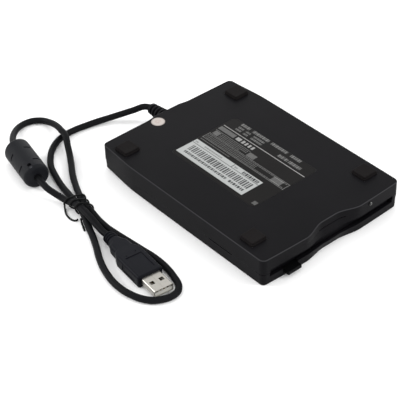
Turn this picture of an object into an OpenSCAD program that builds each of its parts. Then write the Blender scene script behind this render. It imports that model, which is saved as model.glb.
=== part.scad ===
// External floppy disk drive with a fixed cord, a ferrite bead and a plug.
// The drive lies on its top cover, feet up, with the disk slot towards -Y.
// Millimetres, +Z up, z = 0 is the table.

// Piece to draw, or all of them

/* [Case] */
// Width of the case
body_w = 105.4; // [95:0.2:116]
// Depth of the case from the slot edge to the straight rear edge
body_d = 144.4; // [130:0.2:158]
// Height of the closed case without its feet
body_h = 18.2; // [16.4:0.1:20]
// Height of the parting line above the table
lid_h = 7.7; // [7:0.1:8.4]
// Wall thickness of both mouldings
wall = 1.6; // [1.4:0.1:1.7]
// Radius of the front corners in plan
front_r = 3.5; // [3:0.1:4.5]
// Radius of the rear corners in plan
rear_r = 3.2; // [3:0.1:4.5]
// How far the middle of the front edge stands ahead of its ends
front_bow = 1.2; // [0.8:0.1:1.4]
// How far each side draws in towards the rear
rear_taper = 2.1; // [1:0.1:2.2]
// How far the bulge over the cord stands out at the rear
hood_reach = 1.2; // [0.6:0.1:1.6]
// Depth of the finger scoop at the upper rim of the front
scoop_top = 3.8; // [2:0.1:4.2]
// Depth of the finger scoop at the table side of the front
scoop_low = 2.8; // [1.6:0.1:3]
// Half width over which the scoop fades out
scoop_half = 21.5; // [18:0.5:24]
// Radius of the cover where it curves away from the table
belly_r = 980; // [800:10:1200]

/* [Feet and labels] */
// Side of each square rubber foot
foot_size = 11.4; // [9:0.2:12.4]
// Height of the feet above the case
foot_h = 2; // [1.5:0.1:2.5]
// Distance from the middle of a foot to the side of the case
foot_inset = 9.7; // [9:0.1:11]
// Height of the flange round the foot of each foot
foot_step = 0.7; // [0.4:0.1:1]
// Depth of the recess for the label
label_recess = 0.2; // [0.1:0.05:0.4]
// Width of the label recess
label_w = 51; // [40:1:56]
// Length of the label recess
label_l = 72; // [60:1:76]

/* [Slot, door and button] */
// Distance from each end of the disk slot to the side of the case
slot_margin = 5.2; // [5:0.1:6]
// Thickness of the slot door
door_t = 1.2; // [1:0.1:1.4]
// How far the button stands out of the front edge
button_reach = 2.7; // [2.3:0.1:3.2]
// Width of the eject button
button_w = 10; // [8:0.2:11]
// Height of the eject button
button_h = 2.5; // [2:0.1:2.6]
// Travel of the eject slide
eject_travel = 3; // [2.6:0.1:3.2]

/* [Mechanism] */
// Distance the disk cradle drops onto the motor
cradle_drop = 1.8; // [1.5:0.1:1.9]
// Diameter of the cradle pins
pin_d = 1.6; // [1.4:0.1:1.8]
// Clearance round each cradle pin in its slots
pin_gap = 0.15; // [0.1:0.05:0.25]
// Radius of the motor rotor
rotor_r = 17; // [16:0.2:17.4]
// Diameter of the spindle shaft
shaft_d = 3; // [2.4:0.1:3.2]
// Running clearance of shafts and rods in their bores
running_gap = 0.05; // [0.03:0.01:0.08]
// Diameter of the guide rod
rod_d = 3; // [2.4:0.1:3.2]
// Diameter of the stepper motor
stepper_d = 10; // [8:0.2:10]
// Travel of the head carriage
carriage_travel = 14.8; // [12:0.2:15]

/* [Cord, ferrite and plug] */
// Diameter of the cord
cord_d = 4; // [3.6:0.1:4]
// Diameter of the ferrite housing
ferrite_d = 16; // [15:0.2:16]
// Length of the ferrite housing
ferrite_l = 32.6; // [30:0.2:33]
// Thickness of the plug overmould
plug_h = 8; // [7.4:0.1:8]
// Width of the plug overmould
plug_w = 16; // [15:0.2:17]
// Diameter of the wire of the twist tie
tie_d = 0.9; // [0.7:0.05:1]

/* [Hidden] */
// Plan of the case
front_y = -(body_d + button_reach + hood_reach) / 2 + button_reach;
rear_y = front_y + body_d;
tip_y = front_y - button_reach;
half_w = body_w / 2;
slot_half = half_w - slot_margin;
// The inside grows and shrinks with the case
kx = body_w / 105.4;
ky = body_d / 144.4;
kz = body_h / 18.2;
flat_end = rear_y - 56 * ky;
taper_start = rear_y - 31.5 * ky;
taper_len = 32 * ky;
hood_flat = 8;
hood_fade = 9;
arc_steps = 6;
front_steps = 20;
inner_top = body_h - wall;
seam_bevel = 0.25;
// The mechanism has its origin at the spindle, its sizes are given for the case as drawn
hub_y = front_y + 52.75 * ky;
plate_z = 15.5;
chassis_top = 16.3;
side_x = 47.3;
cradle_x = 46.2;
pin_z = 8;
pin_y = [-23, 33];
bay_z = 5;
lip_z = 10;
ear_at = [43, 64];
screw_at = [17, 10.4];
// The rod and the screw reach just past the carriage at the far end of its travel
rod_front = 49.3 - carriage_travel;
screw_front = 67 - carriage_travel;
hinge_at = [front_y + 4.25, 4.2 * kz];
button_x = -37.5 * kx;
button_z = 2.4 * kz;
lamp_at = [28.1 * kx, 15.2 * kz];
// Rear fixings
boss_r = 4.2;
screw_x = half_w - foot_inset;
screw_y = rear_y - 14.75;
foot_front_y = front_y + 19.75;
lid_boss_z = 1.6;
tail_x = screw_x - boss_r - 0.8;
outlet_z = 11.5 * kz;
outlet_y = rear_y + hood_reach;
relief_l = 15;
neck_r = 3.1;
label_y = 3.7;
black = [0.15, 0.15, 0.16];
dark = [0.09, 0.09, 0.1];
steel = [0.72, 0.73, 0.75];
white = [0.9, 0.9, 0.9];

// Rises from 0 to 1 as t goes from 0 to 1, level at both ends.
function smooth(t) = let (u = min(1, max(0, t))) u * u * (3 - 2 * u);
function side_half(y) = half_w - rear_taper * smooth((y - taper_start) / taper_len);
function front_edge(x, s) = front_y + front_bow * pow(x / 50, 2)
    + s * (1 - smooth((abs(x) - 5) / (scoop_half - 5)));
function rear_edge(x) = rear_y - 0.3 * pow(x / 50, 2)
    + hood_reach * (1 - smooth((abs(x) - hood_flat) / hood_fade));
function arc(c, r, a, b) = [for (i = [0:arc_steps])
    c + r * [cos(a + (b - a) * i / arc_steps), sin(a + (b - a) * i / arc_steps)]];

// Right half of the plan from the front middle to the rear middle, scoop depth s.
fc = [half_w - front_r, front_edge(half_w - front_r, 0) + front_r];
rear_half = side_half(rear_y - rear_r);
rc = [rear_half - rear_r, rear_edge(rear_half - rear_r) - rear_r];
function front_run(s) = [for (i = [0:front_steps - 1])
    let (x = fc[0] * i / front_steps) [x, front_edge(x, s)]];
side_run = [for (t = [0, 0.45, 0.6, 0.72, 0.82, 0.92])
    let (y = flat_end + t * (rear_y - rear_r - flat_end)) [side_half(y), y]];
rear_run = [for (x = [hood_flat + hood_fade, 14.6, 12.5, 10.4, hood_flat, 0])
    [x, rear_edge(x)]];
function right_half(s) = concat(front_run(s), arc(fc, front_r, -90, 0), side_run,
    arc(rc, rear_r, 0, 90), rear_run);
half_n = len(right_half(0)) - 1;
flat_i = front_steps + arc_steps + 1;
ring_n = 2 * half_n;
function mirrored(i) = (ring_n - i) % ring_n;
function outline(s) = let (h = right_half(s))
    concat(h, [for (i = [half_n - 1:-1:1]) [-h[i][0], h[i][1]]]);

// Height by which the cover curves away from the table at y.
function belly(y) = y <= flat_end ? 0 : belly_r - sqrt(pow(belly_r, 2) - pow(y - flat_end, 2));

// One ring of the case: inset d, scoop depth s, height z, curved below the parting line.
function ring(d, s, z) = let (o = outline(s)) [for (i = [0:ring_n - 1])
    let (t = o[(i + 1) % ring_n] - o[(i + ring_n - 1) % ring_n], l = norm(t),
        x = o[i][0] - d * t[1] / l, y = o[i][1] + d * t[0] / l)
    [x, y, z + max(0, 1 - z / lid_h) * belly(y)]];

function wall_faces(k) = [for (j = [0:k - 2]) for (i = [0:ring_n - 1])
    let (a = j * ring_n + i, b = j * ring_n + (i + 1) % ring_n)
    each [[a, a + ring_n, b + ring_n], [a, b + ring_n, b]]];
front_cap = [for (i = [-flat_i:flat_i]) (i + ring_n) % ring_n];
rear_cap = [for (i = [flat_i:half_n - 1]) i == half_n - 1
    ? [i, i + 1, mirrored(i)] : [i, i + 1, mirrored(i + 1), mirrored(i)]];
function cap_faces(k, down) = [for (f = concat([front_cap], rear_cap)) let (n = len(f))
    [for (i = [0:n - 1]) (down ? f[i] : f[n - 1 - i]) + k * ring_n]];

// Closed shell through a chain of rings, each given as [inset, scoop, height].
module shell(chain) {
    k = len(chain);
    polyhedron([for (c = chain) each ring(c[0], c[1], c[2])],
        concat(cap_faces(0, true), wall_faces(k), cap_faces(k - 1, false)), convexity = 8);
}

// Scoop depth of the upper moulding, almost flush at the slot and deep from the crease up.
scoop_slot = 0.2;
scoop_crease = scoop_top - 0.4;
crease_z = lid_h + 0.38 * (body_h - lid_h);
slot_low = 5.2 * kz;
slot_high = 10 * kz;

module box(a, b) {
    translate(a) cube(b - a);
}

// Point of the mechanism in the frame of the case.
function fit(p) = [p[0] * kx, hub_y + p[1] * ky, p[2] * kz];

module mech_box(a, b) {
    box(fit(a), fit(b));
}

module upright(p, h, r, n = 32) {
    translate(fit(p)) cylinder(h = h * kz, r = r, $fn = n);
}

module across(p, h, r, n = 24) {
    translate(fit(p)) rotate([0, 90, 0]) cylinder(h = h * kx, r = r, $fn = n);
}

module along(p, h, r, n = 32) {
    translate(fit(p)) rotate([-90, 0, 0]) cylinder(h = h * ky, r = r, $fn = n);
}

module both_sides() {
    children();
    mirror([1, 0, 0]) children();
}

module rounded_plate(w, l, h, r) {
    linear_extrude(h) {
        square([w - 2 * r, l], center = true);
        square([w, l - 2 * r], center = true);
        for (x = [-1, 1], y = [-1, 1])
            translate([x * (w / 2 - r), y * (l / 2 - r)]) circle(r, $fn = 32);
    }
}

module at_feet() {
    for (x = [-1, 1], y = [foot_front_y, screw_y]) translate([x * screw_x, y, 0]) children();
}

// Case mouldings

module base_case() {
    color(black) difference() {
        union() {
            shell([[wall, scoop_top, inner_top], [wall, scoop_crease, crease_z + 0.6],
                [wall, scoop_slot, lid_h + 2.1], [wall, scoop_slot, lid_h],
                [seam_bevel, scoop_slot, lid_h], [0, scoop_slot, lid_h + 0.3],
                [0, scoop_slot, lid_h + 2.1], [0, scoop_crease, crease_z],
                [0, scoop_top - 0.05, body_h - 0.8], [0.16, scoop_top, body_h - 0.3],
                [0.6, scoop_top, body_h]]);
            for (x = [-1, 1]) translate([x * screw_x, screw_y, lid_h])
                cylinder(h = inner_top - lid_h + 0.1, r = boss_r, $fn = 48);
            base_mounts();
        }
        box([-slot_half, front_y - 1, slot_low + 1.8], [slot_half, front_y + 3, slot_high]);
        at_feet() translate([-foot_size / 2, -foot_size / 2, body_h - 0.3])
            cube([foot_size, foot_size, 1]);
        for (x = [-1, 1]) translate([x * screw_x, screw_y, 0]) {
            cylinder(h = body_h + 1, r = 1.35, $fn = 32);
            translate([0, 0, body_h - 4.2]) cylinder(h = 5, r = 2.9, $fn = 40);
        }
        translate([0, label_y, body_h - label_recess]) rounded_plate(label_w, label_l, 1, 3);
        translate([lamp_at[0], front_y - 1, lamp_at[1]]) rotate([-90, 0, 0])
            cylinder(h = 8, r = 1.1, $fn = 32);
        translate([0, rear_y - 5, outlet_z]) rotate([-90, 0, 0]) cylinder(h = 8, r = neck_r, $fn = 48);
        box([-neck_r, rear_y - 5, lid_h - 1], [neck_r, rear_y + 3, outlet_z]);
        both_sides() box([half_w - 1.8, front_y + 7, 9], [half_w - 1, front_y + 17, 10.2]);
        for (x = [-1, 1]) upright([x * ear_at[0], ear_at[1], 11], 3.6, 1.1);
    }
}

// Bosses and hooks of the base moulding that hold the chassis.
module base_mounts() {
    roof = (inner_top + 0.1) / kz;
    both_sides() {
        upright([ear_at[0], ear_at[1], 12], roof - 12, 3, 40);
        mech_box([22, -42.5, 14.4], [28, -40.4, roof]);
        mech_box([22, -40.5, 14.4], [28, -38, plate_z]);
    }
    if (inner_top - chassis_top * kz > 0.01) both_sides() {
        mech_box([30, -38, chassis_top], [44, 60, roof]);
    }
}

module top_cover() {
    color(black) difference() {
        union() {
            shell([[1.2, scoop_low, 0], [0.75, scoop_low - 0.2, 0.5], [0.55, scoop_low - 0.5, 1.4],
                [0.35, 1.2, slot_low], [0.25, 0.9, lid_h - 0.3], [0.5, 0.8, lid_h],
                [wall + 0.1, 0.8, lid_h], [wall + 0.1, 0.8, lid_h + 1.2],
                [wall + 1, 0.8, lid_h + 1.2], [wall + 1, 1.2, slot_low],
                [wall + 1, scoop_low, wall]]);
            for (x = [-1, 1]) translate([x * screw_x, screw_y, lid_boss_z])
                cylinder(h = lid_h - lid_boss_z, r = boss_r, $fn = 48);
            both_sides() {
                box([half_w - 2.8, front_y + 8, lid_h - 2], [half_w - 1.7, front_y + 16, 10]);
                box([half_w - 1.8, front_y + 8, 9.2], [half_w - 1.3, front_y + 16, 10]);
                box([slot_half - 0.8, hinge_at[0] - 1.6, 1],
                    [slot_half + 2.1, hinge_at[0] + 1.6, hinge_at[1] + 0.9]);
            }
        }
        box([-slot_half, front_y - 1, slot_low], [slot_half, front_y + 6.5, 12]);
        box([-slot_half + 0.9, front_y + 3.1, hinge_at[1] - 1.3],
            [slot_half - 0.9, front_y + 6, hinge_at[1] + 1.8]);
        box([button_x - 0.3, front_y - 1, button_z - 0.3],
            [button_x + button_w + 0.3, front_y + 5, button_z + 3.6]);
        for (x = [-1, 1]) translate([x * screw_x, screw_y, 3.4])
            cylinder(h = 6, r = 1.25, $fn = 32);
        translate([0, rear_y - 5, outlet_z]) rotate([-90, 0, 0]) cylinder(h = 8, r = neck_r, $fn = 48);
        translate([-slot_half - 0.7, hinge_at[0], hinge_at[1]]) rotate([0, 90, 0])
            cylinder(h = 2 * slot_half + 1.4, r = 0.65, $fn = 24);
        box([-half_w - 1, front_y + 26.7, 7.35], [-half_w + 1.4, front_y + 45.7, 9]);
    }
}

module foot_at(x, y) {
    w = foot_size - 0.3;
    color(dark) translate([x, y, body_h - 0.3]) {
        rounded_plate(w, w, 0.3 + foot_step, 0.9);
        rounded_plate(w - 0.9, w - 0.9, foot_h + 0.3, 1.2);
    }
}

module rubber_foot_fl() {
    foot_at(-screw_x, foot_front_y);
}

module rubber_foot_fr() {
    foot_at(screw_x, foot_front_y);
}

module rubber_foot_rl() {
    foot_at(-screw_x, screw_y);
}

module rubber_foot_rr() {
    foot_at(screw_x, screw_y);
}

module label_panel() {
    color(dark) translate([0, label_y, body_h - label_recess])
        rounded_plate(label_w - 0.6, label_l - 0.6, label_recess - 0.05, 2.7);
}

// White paper label on the left part of the panel.
module rating_label() {
    color(white) translate([0, label_y, body_h - 0.05])
        box([-0.44 * label_w, -0.32 * label_l, 0], [-0.116 * label_w, 0.48 * label_l, 0.1]);
}

module round_sticker() {
    color([0.9, 0.82, 0.8]) translate([-12, rear_y - 5.35, body_h])
        cylinder(h = 0.12, r = 4.75, $fn = 64);
}

module led_lens() {
    color([0.8, 0.95, 0.8])
        translate([lamp_at[0], front_edge(lamp_at[0], scoop_top * 0.2) - 0.4, lamp_at[1]])
            rotate([-90, 0, 0]) {
                cylinder(h = 3.4, r = 1.1, $fn = 32);
                translate([0, 0, 2.4]) cylinder(h = 1, r = 1.35, $fn = 32);
            }
}

// Slot door, hinged on pins at its lower edge

module slot_door() {
    color(black) translate([0, hinge_at[0], hinge_at[1]]) {
        box([-slot_half + 1.2, -0.6, -0.7], [slot_half - 1.2, door_t - 0.6, 6.1 * kz]);
        rotate([0, 90, 0]) translate([0, 0, -slot_half - 0.4])
            cylinder(h = 2 * slot_half + 0.8, r = 0.6, $fn = 24);
    }
}

// Eject slide

module eject_button() {
    end_y = hub_y - 38 * ky;
    color(black) {
        box([button_x, tip_y, button_z], [button_x + button_w, front_y + 2.9, button_z + button_h]);
        box([button_x + 2, front_y + 2.8, button_z - 0.1], [button_x + button_w - 2, end_y, button_z + 0.7]);
        box([button_x + 2, end_y - 2, button_z - 0.1], [button_x + button_w - 2, end_y, 3.6 * kz]);
    }
}

// Slanted slot that lifts or drops a cradle pin as the slide moves.
module cam_slot(y) {
    run = norm([eject_travel, cradle_drop]);
    w = pin_d / 2 + pin_gap;
    translate(fit([46, y, pin_z])) rotate([atan2(cradle_drop, eject_travel), 0, 0]) {
        for (d = [-0.2, run + 0.2]) translate([0, d, 0]) rotate([0, 90, 0])
            cylinder(h = 2, r = w, $fn = 32);
        box([0, -0.2, -w], [2, run + 0.2, w]);
    }
}

module eject_plate() {
    color(steel) difference() {
        union() {
            mech_box([-47, -40, 3.6], [47, -14, 4.1]);
            both_sides() {
                mech_box([36, -14.1, 3.6], [47, 41, 4.1]);
                mech_box([46.5, -33, 3.6], [47, 41, 11.5]);
            }
        }
        mech_box([-24, -36, 3], [24, -19, 5]);
        both_sides() for (y = pin_y) cam_slot(y);
    }
}

// Disk cradle with its four pins

module disk_cradle() {
    color(steel) difference() {
        union() {
            mech_box([-cradle_x, -38, bay_z - 0.6], [cradle_x, 43, bay_z]);
            both_sides() {
                mech_box([cradle_x - 0.6, -38, bay_z - 0.6], [cradle_x, 43, lip_z + 0.6]);
                mech_box([41.5, -38, lip_z], [cradle_x, 43, lip_z + 0.6]);
                for (y = pin_y) across([cradle_x - 0.3, y, pin_z], 2, pin_d / 2, 32);
            }
        }
        mech_box([-9, 7, 3], [9, 50, 6]);
        for (x = [-26, 26]) mech_box([x - 9, -28, 3], [x + 9, -6, 6]);
        for (x = [-27, 27]) mech_box([x - 7, 12, 3], [x + 7, 34, 6]);
    }
}

// Chassis and its cover

module drive_chassis() {
    w = pin_d / 2 + pin_gap;
    color(steel) difference() {
        union() {
            mech_box([-side_x - 0.8, -39, plate_z], [side_x + 0.8, 69, chassis_top]);
            mech_box([-tail_x / kx, 68.9, plate_z], [tail_x / kx, 84, chassis_top]);
            both_sides() {
                mech_box([side_x, -39, 4.2], [side_x + 0.8, 69, chassis_top]);
                mech_box([39.5, 60.5, 11.2], [side_x + 0.1, 67.5, 12]);
            }
            mech_box([14.5, rod_front + 0.5, 11.2], [19.5, rod_front + 1.7, plate_z + 0.1]);
            mech_box([14.5, 79, 11.2], [19.5, 80.2, plate_z + 0.1]);
            mech_box([-20.5, screw_front + 0.4, 8.2], [-13.5, screw_front + 1.4, plate_z + 0.1]);
            mech_box([-22.5, 72.5, 5], [-11.5, 73.5, plate_z + 0.1]);
        }
        both_sides() for (y = pin_y) translate(fit([side_x - 0.3, y, pin_z])) {
            box([0, -w, 0], [1.6 * kx, w, cradle_drop]);
            for (z = [0, cradle_drop]) translate([0, 0, z]) rotate([0, 90, 0])
                cylinder(h = 1.6 * kx, r = w, $fn = 32);
        }
        for (x = [-1, 1]) {
            upright([x * ear_at[0], ear_at[1], 15], 2, 3.3, 40);
            upright([x * ear_at[0], ear_at[1], 11], 1.5, 1.1);
        }
        upright([0, 0, 15], 2, 3.5, 40);
        along([screw_at[0], 0, 12.9], 82, rod_d / 2);
        along([-screw_at[0], 50, screw_at[1]], 30, 1.25 + running_gap);
        mech_box([-8, 30, 15], [8, 62, 17]);
        for (x = [-34, 34]) mech_box([x - 7, 10, 15], [x + 7, 34, 17]);
    }
}

module mechanism_cover() {
    color(steel) difference() {
        union() {
            mech_box([-48.5, -36, 2.9], [48.5, 53, 3.3]);
            both_sides() mech_box([48.1, -36, 2.9], [48.5, 53, 6.4]);
        }
        mech_box([-8, 6, 2], [8, 60, 4]);
        upright([0, 0, 2], 2, 5, 40);
    }
}

// Spindle motor

module motor_board() {
    color([0.1, 0.35, 0.2]) difference() {
        mech_box([-40, -37, plate_z - 1], [40, 19, plate_z]);
        upright([0, 0, 13], 4, 3.5, 40);
    }
}

module motor_stator() {
    tooth = rotor_r - 2.2;
    color([0.75, 0.45, 0.2]) translate(fit([0, 0, 12.9])) difference() {
        union() {
            cylinder(h = 1.6 * kz, r = 7, $fn = 48);
            for (a = [0:40:320]) rotate([0, 0, a]) {
                box([6, -0.9, 0.4], [tooth - 1.2, 0.9, 1.2]);
                box([8, -1.7, 0.1], [tooth - 2.2, 1.7, 1.4]);
                box([tooth - 1.4, -2.6, 0.4], [tooth, 2.6, 1.2]);
            }
        }
        translate([0, 0, -1]) cylinder(h = 4, r = 5, $fn = 40);
    }
}

module rotor_cup() {
    color(steel) difference() {
        upright([0, 0, 11.7], 2.4, rotor_r, 96);
        upright([0, 0, 12.3], 3, rotor_r - 0.6, 96);
        upright([0, 0, 11], 3, shaft_d / 2, 40);
        for (a = [0:60:300]) translate(fit([0, 0, 11])) rotate([0, 0, a])
            translate([rotor_r - 3.4, 0, 0]) cylinder(h = 3, r = 1.2, $fn = 24);
    }
}

module rotor_magnet() {
    color([0.2, 0.2, 0.22]) difference() {
        upright([0, 0, 12.3], 1.8, rotor_r - 0.6, 96);
        upright([0, 0, 11], 4, rotor_r - 1.3, 96);
    }
}

module spindle() {
    color(steel) {
        upright([0, 0, 11.2], 0.5, 12.5, 80);
        upright([0, 0, 10.5], 5.6, shaft_d / 2, 40);
        upright([5.5, 0, 10.6], 0.7, 1, 24);
    }
}

module bearing_bush() {
    color([0.75, 0.6, 0.3]) difference() {
        upright([0, 0, 13.6], chassis_top - 13.6, 3.5, 40);
        upright([0, 0, 12], 6, shaft_d / 2 + running_gap, 40);
    }
}

// Head carriage and its drive

module head_carriage() {
    color([0.25, 0.25, 0.27]) difference() {
        union() {
            mech_box([-6, 34, 11.9], [6, 73, 14.2]);
            mech_box([-6, 66, 11.9], [20, 73, 14.6]);
            mech_box([14, 55, 11.2], [20, 73, 14.8]);
            mech_box([-14, 69, 9.2], [-5.9, 71.5, 14.2]);
            mech_box([-19.6, 69, 8.2], [-13.9, 71.5, 12.6]);
            for (x = [-7.5, 5.5]) mech_box([x, 66, 5.5], [x + 2, 73, 14.2]);
            mech_box([-7.5, 66, 11.9], [7.5, 73, 14.2]);
        }
        along([screw_at[0], 50, 12.9], 30, rod_d / 2 + running_gap);
        along([-screw_at[0], 60, screw_at[1]], 20, 1.25 + running_gap);
        across([-10, 70, 7], 20, 0.8);
    }
}

module lower_head() {
    color([0.8, 0.8, 0.78]) {
        mech_box([-3.5, 36, 11.3], [3.5, 43, 11.9]);
        upright([0, 39.5, 10], 1.4, 2.4, 40);
    }
}

module upper_head_arm() {
    color(steel) {
        difference() {
            mech_box([-4.5, 36, 3.9], [4.5, 73, 4.6]);
            mech_box([-2, 46, 3], [2, 62, 5]);
        }
        for (x = [-5.3, 3.9]) mech_box([x, 66.5, 3.9], [x + 1.4, 72, 8]);
        mech_box([-4.5, 66.5, 3.9], [4.5, 72, 4.6]);
        across([-7.4, 70, 7], 14.8, 0.75);
    }
}

module upper_head() {
    color([0.8, 0.8, 0.78]) upright([0, 39.5, 4.6], 0.8, 2.4, 40);
}

module guide_rod() {
    color(steel) along([screw_at[0], rod_front, 12.9], 80.8 - rod_front, rod_d / 2);
}

module stepper_motor() {
    color(steel) difference() {
        union() {
            along([-screw_at[0], 73.5, screw_at[1]], 11.5, stepper_d / 2, 64);
            along([-screw_at[0], 84.5, screw_at[1]], 1.3, 2);
        }
        along([-screw_at[0], 70, screw_at[1]], 12, 1.25 + running_gap);
    }
}

module lead_screw() {
    color(steel) along([-screw_at[0], screw_front, screw_at[1]], 81.2 - screw_front, 1.25);
}

// Lever that the disk pushes back to free the slide

module trigger_lever() {
    color([0.3, 0.3, 0.32]) translate(fit([-38, 57, 6.4])) difference() {
        union() {
            cylinder(h = 0.9, r = 2.6, $fn = 40);
            rotate([0, 0, -21]) {
                box([0, -1.7, 0], [20 * kx, 1.7, 0.9]);
                translate([20 * kx, 0, -0.6]) cylinder(h = 2.4, r = 1.7, $fn = 32);
            }
        }
        translate([0, 0, -1]) cylinder(h = 3, r = 1.2 + running_gap, $fn = 32);
    }
}

module lever_post() {
    color(steel) translate(fit([-38, 57, 6.4])) {
        top = (plate_z - 6.4) * kz;
        translate([0, 0, -0.8]) cylinder(h = top + 0.8, r = 1.2, $fn = 32);
        translate([0, 0, 1]) cylinder(h = top - 1, r = 2, $fn = 32);
        translate([0, 0, -0.8]) cylinder(h = 0.7, r = 1.9, $fn = 32);
    }
}

// Electronics at the rear

module controller_board() {
    edge = (tail_x - 0.2) / kx;
    color([0.1, 0.35, 0.2]) {
        mech_box([21.2, 41, 12.5], [edge, 79, 13.5]);
        for (x = [23, edge - 1.8], y = [43, 77]) upright([x, y, 13.4], plate_z - 13.4, 1.4, 24);
    }
}

module controller_chips() {
    color([0.1, 0.1, 0.1]) {
        mech_box([25, 49, 11.3], [35, 59, 12.5]);
        mech_box([24.5, 63, 11.5], [29.5, 67, 12.5]);
        mech_box([30.5, 63, 11.7], [35.5, 66.5, 12.5]);
        mech_box([22.4, 69, 11.9], [24.4, 72.2, 12.5]);
    }
}

module cord_socket() {
    color(white) difference() {
        mech_box([26.5, 72, 8.8], [36, 77, 12.5]);
        mech_box([27.5, 76, 9.6], [35, 78, 11.6]);
    }
}

module board_ribbon() {
    film = [[12, 14.5], [12, 14.2], [34, 14.2], [38.5, 12.2], [44, 12.2], [44, 12.5],
        [38.7, 12.5], [34.1, 14.5]];
    color([0.75, 0.6, 0.35]) translate([24 * kx, hub_y, 0]) rotate([90, 0, 90])
        linear_extrude(10 * kx) polygon([for (p = film) [p[0] * ky, p[1] * kz]]);
}

// Tube of a given radius along a list of points, its rings turned as little as possible.
function unit(v) = v / norm(v);
function heading(p, i) = unit(p[min(len(p) - 1, i + 1)] - p[max(0, i - 1)]);
function carried(u, t) = unit(u - (u * t) * t);
function sides_along(p, u0) = [for (i = 0, u = carried(u0, heading(p, 0)); i < len(p);
    i = i + 1, u = i < len(p) ? carried(u, heading(p, i)) : u) u];
module tube(p, r, n, u0 = [0, 0, 1]) {
    m = len(p);
    us = sides_along(p, u0);
    pts = [for (i = [0:m - 1]) let (t = heading(p, i), v = cross(t, us[i])) each
        [for (k = [0:n - 1]) p[i] + r * (cos(360 * k / n) * us[i] + sin(360 * k / n) * v)]];
    faces = [for (i = [0:m - 2]) for (k = [0:n - 1])
        let (a = i * n + k, b = i * n + (k + 1) % n) each [[a, a + n, b + n], [a, b + n, b]]];
    polyhedron(pts, concat([[for (k = [0:n - 1]) k]], faces,
        [[for (k = [n - 1:-1:0]) (m - 1) * n + k]]), convexity = 12);
}

module cord_leads() {
    for (i = [0:3]) {
        lift = 0.5 * (i % 2);
        color([[0.7, 0.1, 0.1], [0.9, 0.9, 0.9], [0.1, 0.5, 0.2], [0.1, 0.1, 0.1]][i])
            tube([[-1.2 + 0.8 * i, rear_y - 3.99, outlet_z - 0.4 + lift],
                [-0.4 + 1.2 * i, rear_y - 6.5, outlet_z - 0.4 + lift],
                [9 + 1.5 * i, rear_y - 6 - 0.9 * i, 9.9 * kz],
                [20 + 1.2 * i, rear_y - 5.8 - 0.9 * i, 9.9 * kz],
                fit([26.6 + 1.6 * i, 79.4 - 0.3 * i, 10.6]), fit([28.6 + 1.8 * i, 77.6, 10.6]),
                fit([28.6 + 1.8 * i, 76.05, 10.6])], 0.35, 6);
    }
}

// Screws

module cross_recess(l, w, z) {
    for (a = [0, 90]) rotate([0, 0, a]) box([-l, -w, z], [l, w, z + 2]);
}

module case_screws() {
    seat = body_h - 4.2;
    for (x = [-1, 1]) color(steel) translate([x * screw_x, screw_y, 0]) difference() {
        union() {
            translate([0, 0, seat]) cylinder(h = 1.6, r = 2.6, $fn = 40);
            translate([0, 0, 3.4]) cylinder(h = seat - 3, r = 1.25, $fn = 32);
        }
        cross_recess(1.5, 0.3, seat + 0.9);
    }
}

module mechanism_screws() {
    for (x = [-1, 1]) color(steel) difference() {
        union() {
            upright([x * ear_at[0], ear_at[1], 9.9], 1.3, 2.2, 40);
            upright([x * ear_at[0], ear_at[1], 11], 3.4, 1.1);
        }
        translate(fit([x * ear_at[0], ear_at[1], 10.5])) cross_recess(1.2, 0.25, -2);
    }
}

// Strain relief, a ribbed sleeve whose neck is held between the two mouldings

module cord_strain_relief() {
    color(dark) translate([0, outlet_y, outlet_z]) rotate([-90, 0, 0]) difference() {
        union() {
            translate([0, 0, -4.2]) cylinder(h = 4.3, r = neck_r, $fn = 48);
            translate([0, 0, -4.2]) cylinder(h = 1.2, r = neck_r + 1.1, $fn = 48);
            cylinder(h = relief_l, r1 = 4, r2 = 2.9, $fn = 48);
            cylinder(h = 1.9, r = 5, $fn = 48);
            for (i = [1:4]) translate([0, 0, 0.4 + 3 * i])
                cylinder(h = 1.8, r = 5 - 0.33 * i, $fn = 48);
        }
        translate([0, 0, -5]) cylinder(h = relief_l + 10, r = cord_d / 2, $fn = 48);
    }
}

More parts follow.
